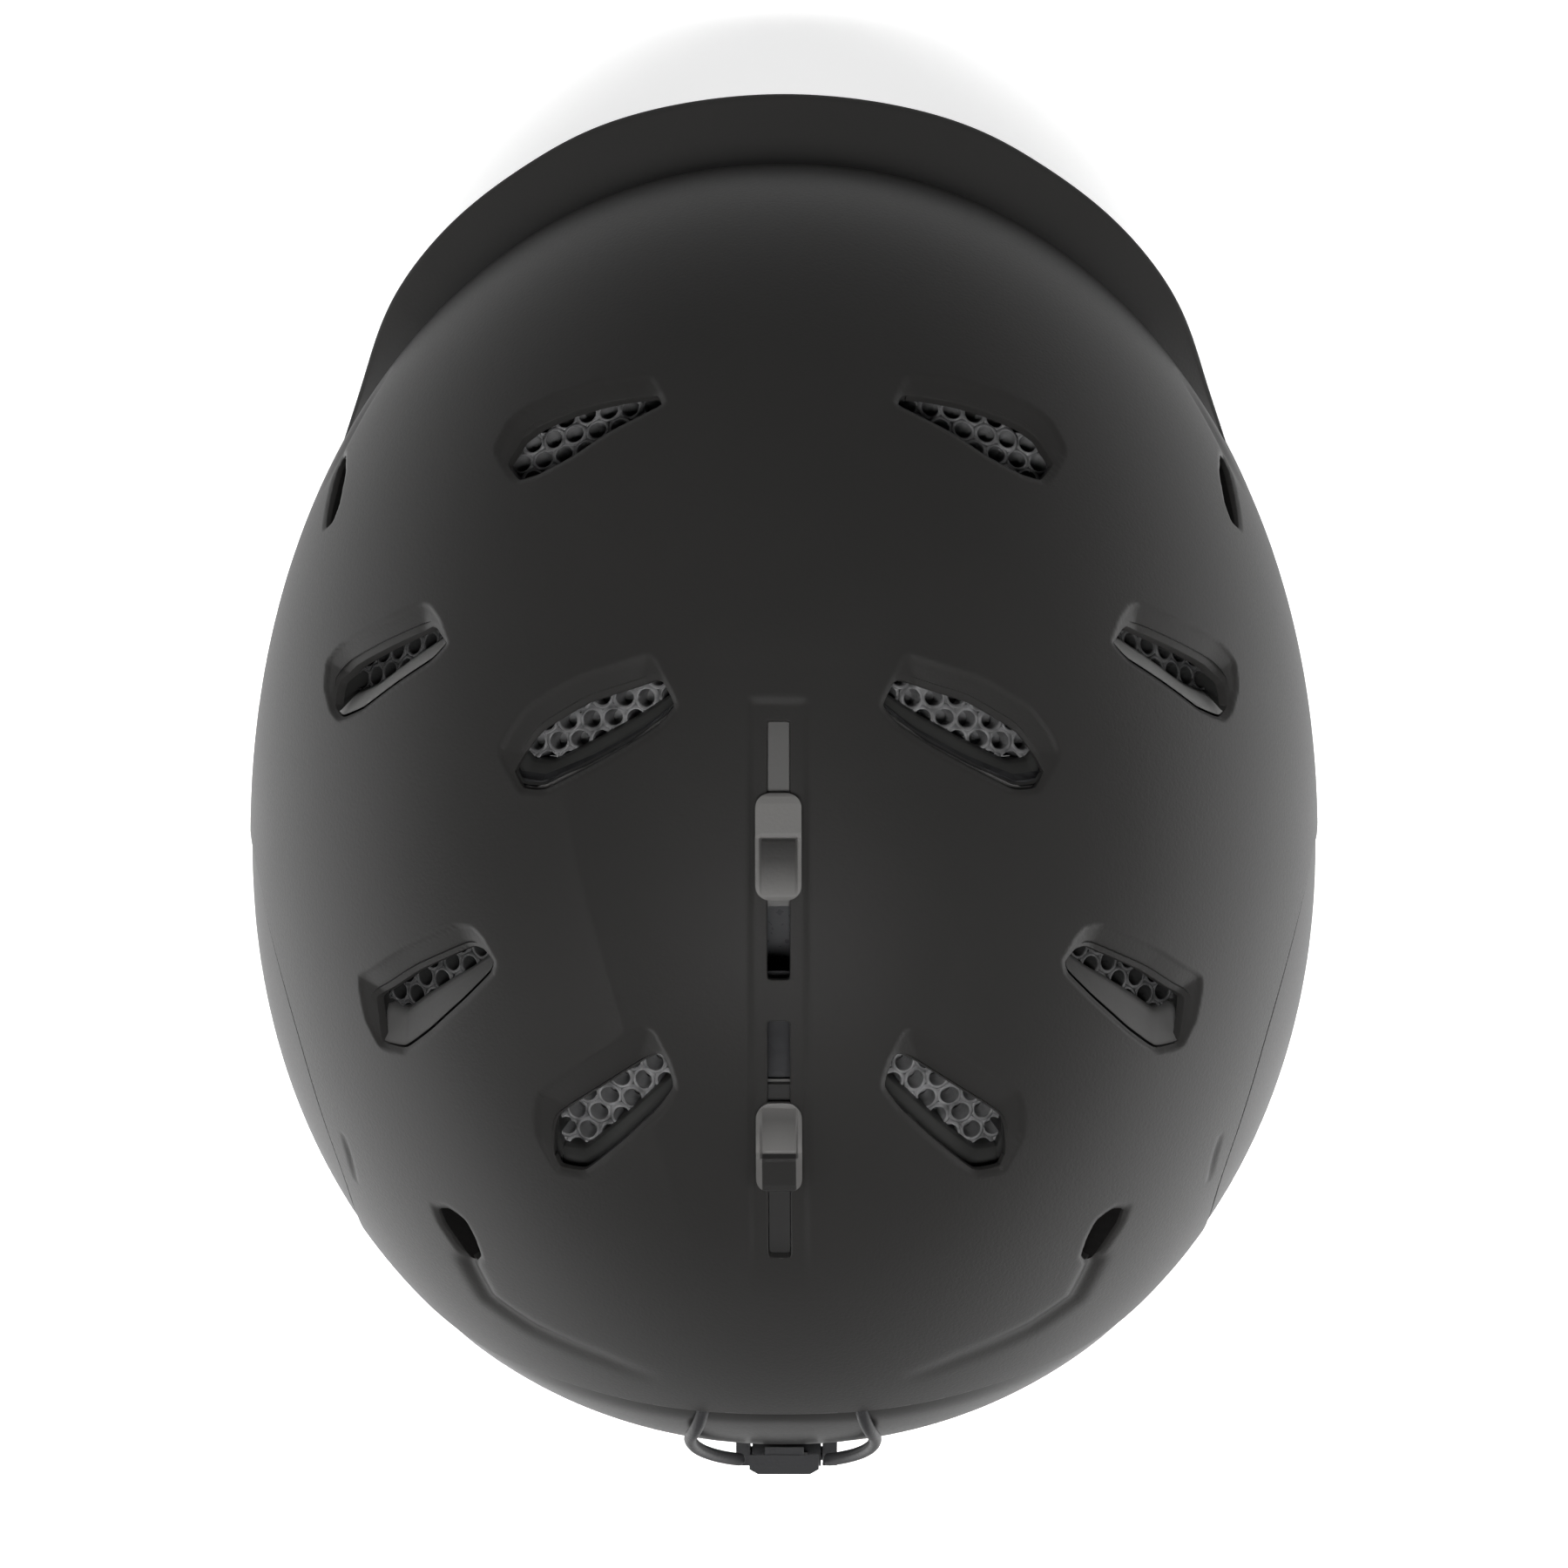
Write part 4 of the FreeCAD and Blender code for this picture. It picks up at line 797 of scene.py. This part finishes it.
def knob(name, axis, span, shares, hump, tones):
    """Thumb piece as a height field over the track's arc (y, z, radius).

    shares: where along its length the heights of hump lie. tones: (share, painted shade), the painted light
    and shade along its length, standing in for how light falls on its block, dish and rails."""
    cy, cz, r = axis
    y0, y1 = span
    u, x = np.meshgrid(np.linspace(0, 1, KNOB_ROWS), np.linspace(-KNOB_HALF, KNOB_HALF, KNOB_COLS),
                       indexing="ij")
    y = y0 + u * (y1 - y0)
    heights, rails = np.transpose(hump)
    side = smooth(np.abs(x), 3.4, 3.95)
    height = np.interp(u, shares, heights) * (1 - side) + np.interp(u, shares, rails) * side
    ang = np.arctan2(np.sqrt(r * r - (y - cy) ** 2), y - cy)
    rr = r + height
    verts = np.stack([x, cy + rr * np.cos(ang), cz + rr * np.sin(ang)], -1).reshape(-1, 3)
    up = np.stack([0 * x, np.cos(ang), np.sin(ang)], -1).reshape(-1, 3)
    q = grid_faces(KNOB_ROWS, KNOB_COLS)
    tri = np.vstack([q[:, [0, 2, 1]], q[:, [0, 3, 2]]])
    edge = KNOB_HALF - 0.05
    outline = box_sdf(x.ravel(), y.ravel(), -edge, edge, y0 + 0.02, y1 - 0.02, KNOB_CORNER)
    v, f, n, border = clip(verts, tri, -outline, up)
    v, f = wall(v, f, n, border, [(0.14, 0.05), (0.22, 0.22), (0.22, 4.0)])
    reach = np.hypot(v[:, 1] - cy, v[:, 2] - cz)
    k = np.maximum(reach, r - KNOB_FOOT) / reach
    v[:, 1], v[:, 2] = cy + (v[:, 1] - cy) * k, cz + (v[:, 2] - cz) * k
    # Painted light and shade: lighter and darker bands along the thumb piece, the rails kept light.
    painted_shade = np.interp(np.clip((v[:, 1] - y0) / (y1 - y0), 0, 1), *np.transpose(tones))
    painted_shade = np.where(np.abs(v[:, 0]) > 3.5, np.maximum(painted_shade, RAIL_PAINTED_LIGHT), painted_shade)
    ob = make(name + "_knob", v, f, knob_grey, name + "_vent_slider", attributes={"painted_shade": painted_shade})
    sharpen(ob, 30)
    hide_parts(name + "_vent_knob")


# The last list of each call: painted light and shade along the thumb piece.
knob("front", (12.0, 38.4, 156.4), (1.9, 23.6), (0, 0.03, 0.1, 0.38, 0.415, 0.43, 0.46, 0.6, 0.85, 0.96, 1),
     HUMP, [(0, 0.9), (0.42, 0.8), (0.43, 0.0), (0.6, 0.15), (0.95, 0.9), (1, 0.7)])
knob("rear", (15.6, 54.4, 141.2), (64.6, 82.5), (0, 0.05, 0.2, 0.45, 0.56, 0.59, 0.605, 0.64, 0.9, 0.97, 1),
     HUMP[::-1], [(0, 0.9), (0.08, 0.5), (0.2, 0.35), (0.58, 1.0), (0.595, 0.0), (1, 0.0)])

# ---- brim
# Outer edge and root in plan, from the middle to the right; the left half mirrors them.
EDGE = [(0, -143.6), (32.5, -139), (52, -130), (64.7, -121), (73.9, -112), (80.6, -102.8), (84.8, -93.8),
        (87.7, -84.7), (90.6, -75.7), (93.6, -66.6)]
ROOT = [(0, -129), (28, -124.5), (45, -118), (57, -110.5), (65.5, -103), (72.5, -95.5), (77.5, -88.5),
        (82, -82), (86.7, -75), (93.4, -66.6)]
EDGE_HEIGHT = [(-143.6, 94.8), (-120, 92.8), (-100, 90.8), (-80, 87.8), (-66, 84.8)]
BRIM_FULL, BRIM_SINK, BRIM_UNDER, BRIM_STATIONS = 14.0, 1.2, 2.6, 361
UP = np.array([0, 0, 1.0])


def both_halves(line):
    """Smooth curve through a line and its mirror image: x and y at the brim's stations."""
    points = np.array([(-x, y) for x, y in line[:0:-1]] + line)
    last = len(line) - 1
    known, wanted = np.arange(-last, last + 1), np.linspace(-last, last, BRIM_STATIONS)
    return [cubic(known, points[:, k], wanted) for k in (0, 1)]


def brim():
    """Sections from the shell over the top to the edge and back underneath, one per station."""
    (ex, ey), (rx, ry) = both_halves(EDGE), both_halves(ROOT)
    ez = np.interp(ey, *np.transpose(EDGE_HEIGHT))
    share = np.clip(np.hypot(ex - rx, ey - ry) / BRIM_FULL, 0, 1)
    lift = 1.0 + 7.0 * share ** 0.6
    d = unit(np.stack([rx, ry - MID_Y, 0 * rx], -1))

    def on_shell(z, inward):
        return ray(np.stack([0 * rx, MID_Y + 0 * rx, z], -1), d) - d * inward

    high, low = on_shell(ez + lift, BRIM_SINK), on_shell(ez - BRIM_UNDER, BRIM_SINK)
    tip = np.stack([ex, ey, ez], -1)
    half = (0.35 + 0.9 * share)[:, None]
    inner = tip - d * half * 1.2
    knee = on_shell(ez + lift * 0.32, 0)
    knee = knee + (tip - knee) * 0.28
    knee[:, 2] = ez + lift * 0.42 + 0.6
    rows = [high * (1 - t) ** 2 + 2 * knee * t * (1 - t) + (inner + UP * half) * t * t
            for t in np.linspace(0, 1, 15)]
    rows += [tip + d * (half * 1.2 * (cos(a) - 1)) + UP * (half * sin(a))
             for a in map(radians, (50, 20, -10, -40, -75))]
    rows += [(inner - UP * half) * (1 - t) + low * t for t in np.linspace(0.08, 1, 8)]
    ob = make("brim_shape", *tube_mesh(rows), brim_black_painted_light, "helmet")
    face_outwards(ob)
    sharpen(ob, 50)
    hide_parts("brim")


brim()
BODY_OF = {node: body for body, nodes in frame["record"]["behaviour"]["bodies"].items() for node in nodes}


# ---- pads
def bulge_dir(p, flat):
    """Direction in which a pad's outer cover faces: away from the head."""
    return normal(p) if flat is None else np.tile(np.array(flat, float), (len(p), 1))


def coords_of(me):
    """Vertex places of a mesh, in metres."""
    co = np.empty(len(me.vertices) * 3)
    me.vertices.foreach_get("co", co)
    return co.reshape(-1, 3)


def baked(ob):
    """Applies an object's modifiers."""
    dg = bpy.context.evaluated_depsgraph_get()
    me = bpy.data.meshes.new_from_object(ob.evaluated_get(dg), depsgraph=dg)
    old = ob.data
    ob.modifiers.clear()
    ob.data = me
    bpy.data.meshes.remove(old)


def relax(me, rounds, factor=0.5):
    """Evens out a mesh by moving each vertex towards its neighbours."""
    e = np.empty(len(me.edges) * 2, np.int32)
    me.edges.foreach_get("vertices", e)
    e = e.reshape(-1, 2)
    co = coords_of(me)
    deg = np.bincount(e.ravel(), minlength=len(co))[:, None] + 1e-9
    for _ in range(rounds):
        acc = np.zeros_like(co)
        np.add.at(acc, e[:, 0], co[e[:, 1]])
        np.add.at(acc, e[:, 1], co[e[:, 0]])
        co += (acc / deg - co) * factor
    me.vertices.foreach_set("co", co.ravel())
    me.update()


# name: slot, material, voxel mm, how far it may swell towards the head and away from it, mm,
# facing of its back (None: the dome), seam distances from the edge, mm, and how full it is
PADS = {
    "brow_cushion": ("pad_fabric", knit, 2.4, 2.6, 0.0, None, (3.2,), 0.6),
    "crown_cushion": ("pad_fabric", knit, 2.4, 2.4, 0.0, None, (3.0,), 0.6),
    "side_cushion_left": ("pad_fabric", knit, 2.4, 2.4, 0.0, None, (3.2,), 0.6),
    "side_cushion_right": ("pad_fabric", knit, 2.4, 2.4, 0.0, None, (3.2,), 0.6),
    "nape_cushion": ("pad_fabric", knit, 2.0, 2.4, 0.0, None, (3.0,), 0.6),
    "ear_cushion_left": ("ear_fabric", fleece, 3.4, 0.9, 2.0, (1, 0, 0), (4.0, 15.0), 0.7),
    "ear_cushion_right": ("ear_fabric", fleece, 3.4, 0.9, 2.0, (-1, 0, 0), (4.0, 15.0), 0.7),
    "chin_cushion": ("chin_fabric", fleece, 2.0, 2.0, 0.0, (0, 0, -1), (3.0,), 0.6),
}
STEPS, PRESSURE = 20, 4.0
SEAM_DEEP, STITCH = 0.75, 3.4


def prepare(name, node, voxel, facing):
    """Even mesh of a CAD pad, its places, and trees of the pad's faces and of those on its edge."""
    source = frame["nodes"][node].data
    ob = placed(name, source.copy())
    mod = ob.modifiers.new("remesh", "REMESH")
    mod.mode, mod.voxel_size = "VOXEL", voxel * MM
    baked(ob)
    relax(ob.data, 4)
    sides = bmesh.new()
    sides.from_mesh(source)
    tree = BVHTree.FromBMesh(sides)
    centres = np.array([f.calc_center_median()[:] for f in sides.faces]) / MM
    normals = np.array([f.normal[:] for f in sides.faces])
    facings = np.abs(np.einsum("ij,ij->i", bulge_dir(centres, facing), normals))
    covers = [f for f, k in zip(list(sides.faces), facings) if k > 0.6]
    bmesh.ops.delete(sides, geom=covers, context="FACES")
    rim = BVHTree.FromBMesh(sides)
    sides.free()
    return ob, coords_of(ob.data), tree, rim


def add_cloth(ob):
    mod = ob.modifiers.new("cloth", "CLOTH")
    cover = mod.settings
    cover.quality, cover.mass = 4, 0.15
    cover.tension_stiffness = cover.compression_stiffness = 18
    cover.shear_stiffness, cover.bending_stiffness = 8, 2.0
    cover.use_pressure, cover.uniform_pressure_force = True, PRESSURE
    cover.effector_weights.gravity = 0.0
    mod.collision_settings.use_collision = False
    mod.point_cache.frame_start, mod.point_cache.frame_end = 1, STEPS


def swollen(ob, start, tree, inward, outward, facing):
    """Places after the simulation, scaled to the pad's room and held within it."""
    baked(ob)
    move = coords_of(ob.data) - start
    usual = np.percentile(np.linalg.norm(move, axis=1), 97)
    now = start + move * min(1.0, max(inward, outward) * MM / max(usual, 1e-9))
    back = bulge_dir(now / MM, facing)
    for i, p in enumerate(now):
        hit, n = tree.find_nearest(Vector(p))[:2]
        away = (Vector(p) - hit).dot(n)
        side = float(np.dot(back[i], n[:]))
        most = (outward if side > 0.4 else inward if side < -0.4 else 0.6) * MM
        if away > most:
            now[i] = np.array(hit[:]) + np.array(n[:]) * most
    return now


def sew(ob, rim, facing, seams):
    """Presses seams into the cover at distances from its edge, with puckers along the first."""
    co = coords_of(ob.data)
    nn = np.empty(len(co) * 3)
    ob.data.vertex_normals.foreach_get("vector", nn)
    nn = nn.reshape(-1, 3)
    front = smooth(-np.einsum("ij,ij->i", nn, bulge_dir(co / MM, facing)), 0.3, 0.7)
    gap = np.array([rim.find_nearest(Vector(p))[3] or 0.05 for p in co]) / MM
    sink = np.zeros(len(co))
    for seam in seams:
        sink += SEAM_DEEP * np.exp(-((gap - seam) / 0.75) ** 2)
        sink -= 0.22 * np.exp(-((gap - seam - 1.9) / 0.9) ** 2)
        sink -= 0.22 * np.exp(-((gap - seam + 1.7) / 0.8) ** 2)
    along = (co[:, 0] * 1.7 + co[:, 1] * 1.3 + co[:, 2] * 1.9) / MM
    sink += 0.1 * np.sin(along * 2 * pi / STITCH) * np.exp(-((gap - seams[0]) / 1.2) ** 2)
    ob.data.vertices.foreach_set("co", (co - nn * (sink * front * MM)[:, None]).ravel())


NODE_OF = {name: name.replace("cushion", "pad") for name in PADS}
soft = {name: prepare(name, NODE_OF[name], row[2], row[5]) for name, row in PADS.items()}
for ob, *_ in soft.values():
    add_cloth(ob)
for step in range(1, STEPS + 1):
    bpy.context.scene.frame_set(step)
for name, (ob, start, tree, rim) in soft.items():
    slot, mat, _, inward, outward, facing, seams, fill = PADS[name]
    now = swollen(ob, start, tree, inward, outward, facing)
    ob.data.vertices.foreach_set("co", now.ravel())
    ob.data.update()
    mod = ob.modifiers.new("subdivision", "SUBSURF")
    mod.levels = mod.render_levels = 2
    baked(ob)
    sew(ob, rim, facing, seams)
    ob.data.polygons.foreach_set("use_smooth", np.ones(len(ob.data.polygons), bool))
    ob.data.materials.clear()
    ob.data.materials.append(mat)
    ob.data.update()
    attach(ob, BODY_OF[NODE_OF[name]])
    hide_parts(NODE_OF[name])


# ---- webbing
WEB_THICK, WEB_WIDE, LEG_WIDE = 1.5, 17.8, 13.8


def ribbon(name, path, across, width, body, *nodes):
    """Flat woven strap along a line of points, with rounded, thicker edges and shallow ribs."""
    path = np.asarray(path, float)
    across = np.asarray(across, float)
    n = unit(np.cross(across, unit(np.gradient(path, axis=0))))
    s = np.linspace(-1, 1, 25)
    bead = 0.42 + 0.08 * smooth(np.abs(s), 0.78, 0.92) - 0.3 * smooth(np.abs(s), 0.93, 1.0)
    ridge = 0.035 * np.cos(s * pi * 7)
    run = np.concatenate([[0], np.cumsum(np.linalg.norm(np.diff(path, axis=0), axis=1))])
    half_w = (width / 2 + 0.05 * np.sin(run / 7.3) + 0.03 * np.sin(run / 3.1 + 1))[:, None]
    upper, lower = [[path + across * (half_w * k) + n * thick * (b + r) for k, b, r in zip(s, bead, ridge)]
                    for thick in (WEB_THICK, -WEB_THICK)]
    ob = make(name, *tube_mesh(upper + lower[::-1]), webbing, body)
    face_outwards(ob)
    sharpen(ob, 60)
    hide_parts(*nodes)
    return ob


STRAP_X, STRAP_Y, BEND, FLAT, STRAP_STEP = 84.8, 9, 9.8, 2.0, 1.2


def lower_path(x_end, side):
    """From the divider down, round the bend and along the floor of the frame to x_end."""
    down = [(STRAP_X, STRAP_Y, z) for z in np.linspace(20.9, FLAT + BEND, 12)]
    turn = [(STRAP_X - BEND + BEND * cos(a), STRAP_Y, FLAT + BEND - BEND * sin(a))
            for a in np.linspace(0, pi / 2, 14)[1:]]
    flat = [(x, STRAP_Y, FLAT) for x in np.arange(STRAP_X - BEND - STRAP_STEP, x_end, -STRAP_STEP)]
    return np.array(down + turn + flat + [(x_end, STRAP_Y, FLAT)]) * np.array([side, 1, 1])


strap = ribbon("strap_free_left", lower_path(25.2, 1), (0, 1, 0), WEB_WIDE, None, "strap_lower_left",
               "strap_end_left")
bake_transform(strap)
ribbon("strap_fixed_right", lower_path(15.3, -1), (0, 1, 0), WEB_WIDE, "helmet", "strap_lower_right")
for side, tag in ((1, "left"), (-1, "right")):
    for leg, a, b in (("front", (-24.6, 64.5), (-3.6, 41.4)), ("rear", (48.4, 56.6), (23.4, 40.2))):
        t = np.linspace(0, 1, 26)
        d = np.subtract(b, a) / np.hypot(*np.subtract(b, a))
        path = np.column_stack([side * (STRAP_X + 0.25 * np.sin(t * pi)), a[0] + (b[0] - a[0]) * t,
                                a[1] + (b[1] - a[1]) * t])
        ribbon("strap_%s_%s" % (leg, tag), path, (0, -d[1], d[0]), LEG_WIDE, "helmet", "strap_upper_" + tag)

# ---- finish of the carried-over CAD nodes
FINISH = dict(shell_matte=soft_black, shell_side=side_black, shell_gloss=gloss_black,
              trim_rubber=trim_black, brim_plastic=brim_black_painted_light, steel=steel, foam=foam_black,
              tube_core=tube_dark, liner_plastic=slip_sheet, rubber=rubber, pad_fabric=knit,
              ear_fabric=fleece, chin_fabric=fleece, fitting_plastic=nylon, track_plastic=acetal,
              clip_plastic=nylon, webbing=webbing, buckle_plastic=acetal, magnet_steel=nickel,
              knob_plastic=knob_grey, carrier_plastic=strip_grey, dial_plastic=rubber)
# The rear carrier takes a darker copy of the carrier plastic: painted shade.
OWN = dict(front_slider_track=track_black, rear_slider_track=track_black, rear_vent_carrier=strip_painted_shade)
for sub in frame["record"]["subparts"]:
    mesh = frame["nodes"][sub["node"]].data
    mesh.materials.clear()
    mesh.materials.append(OWN.get(sub["node"], FINISH[sub["material_slot"]]))

# ---- floor, camera and light
FLOOR_HALF, FLOOR_Z = 3000, -0.2
floor_mat = surface("floor", 0.86, 0.6, (40, 0.02), vary=0.01, rough_vary=0.05, large=2)
corners = [(x * FLOOR_HALF, y * FLOOR_HALF, FLOOR_Z) for x, y in ((-1, -1), (1, -1), (1, 1), (-1, 1))]
floor = make("floor", corners, [(0, 1, 2, 3)], floor_mat)
floor.visible_glossy = False
put(floor_mat.node_tree.nodes["Principled BSDF"], Emission_Color=(1, 1, 1, 1), Emission_Strength=0.5)

CENTRE, DISTANCE, PICTURE_WIDTH, SENSOR = Vector((0, 0, 0.095)), 4.0, 0.3262, 36.0
tilt = radians(0.65)
cam = bpy.data.cameras.new("camera")
cam_ob = placed("camera", cam)
cam.sensor_width = SENSOR
cam.lens = SENSOR * DISTANCE / PICTURE_WIDTH
cam.clip_start, cam.clip_end = 0.5, 30.0
cam_ob.location = CENTRE + Vector((-sin(tilt), 0, cos(tilt))) * DISTANCE
back = (cam_ob.location - CENTRE).normalized()
right = Vector((0, -1, 0)).cross(back).normalized()
cam_ob.rotation_mode = "QUATERNION"
cam_ob.rotation_quaternion = Matrix((right, back.cross(right), back)).transposed().to_quaternion()
bpy.context.scene.camera = cam_ob


def area(name, place, size, size_y, power):
    """Area light aimed at the helmet, left out of reflections."""
    light = bpy.data.lights.new(name, "AREA")
    light.energy = power
    light.shape = "RECTANGLE"
    light.size, light.size_y = size, size_y
    o = placed(name, light)
    o.location = place
    o.rotation_mode = "QUATERNION"
    o.rotation_quaternion = (Vector(place) - Vector((0, 0, 0.1))).to_track_quat("Z", "Y")
    o.visible_glossy = False
    return light


area("left_light", (1.6, 0.62, 0.45), 0.8, 1.4, 18)
area("right_light", (-1.6, 0.62, 0.45), 0.8, 1.4, 18)
area("overhead_light", (0, 0.6, 2.55), 2.4, 0.5, 12).spread = radians(40)
area("front_light", (0, -2.2, 1.0), 2.4, 1.0, 14)

# The world is brighter low down and at both flanks (LOBE: how far these point rearwards, and how narrow they
# are), and softer behind. The camera itself sees one plain grey.
LOBE_TURN, LOBE_POWER, BEHIND, BACKDROP = radians(22), 3.0, 0.55, 0.62
world = bpy.data.worlds.new("world")
bpy.context.scene.world = world
world.use_nodes = True
sky = world.node_tree
direction = add(sky, "TexCoord").outputs["Generated"]
split = add(sky, "SeparateXYZ", _0=direction).outputs
height = add(sky, "MapRange", Value=split["Z"], From_Min=-1.0).outputs["Result"]


def by_height(stops):
    """Grey that changes from straight down (0) to straight up (1)."""
    return ramp_of(sky, height, [(place, (value, value, value)) for place, value in stops])


def vector(operation, first, **more):
    return add(sky, "VectorMath", operation=operation, _0=first, **more).outputs


around = by_height([(0.0, 0.55), (0.18, 0.5), (0.5, 0.14), (0.67, 0.03)])
flanks = by_height([(0.0, 0.9), (0.2, 1.5), (0.5, 1.35), (0.66, 0.0)])
mirror = add(sky, "SeparateXYZ", _0=vector("ABSOLUTE", direction)["Vector"]).outputs["X"]
aimed = add(sky, "CombineXYZ", X=mirror, Y=split["Y"]).outputs["Vector"]
lobe_axis = (cos(LOBE_TURN), sin(LOBE_TURN), 0)
lobe = vector("DOT_PRODUCT", vector("NORMALIZE", aimed)["Vector"], _1=lobe_axis)["Value"]
sides = add(sky, "Math", operation="POWER", use_clamp=True, _0=lobe, _1=LOBE_POWER).outputs[0]
behind = add(sky, "MapRange", Value=split["Y"], From_Min=-0.3, To_Min=1.0, To_Max=BEHIND).outputs["Result"]
softer = vector("SCALE", around, Scale=behind)["Vector"]
total = vector("ADD", vector("SCALE", flanks, Scale=sides)["Vector"], _1=softer)["Vector"]
seen = add(sky, "Mix", data_type="VECTOR", Factor=add(sky, "LightPath").outputs["Is Camera Ray"], _4=total,
           _5=(BACKDROP, BACKDROP, BACKDROP))
put(sky.nodes["Background"], Color=seen.outputs[1], Strength=1.0)
bpy.context.scene.view_settings.view_transform = "Standard"
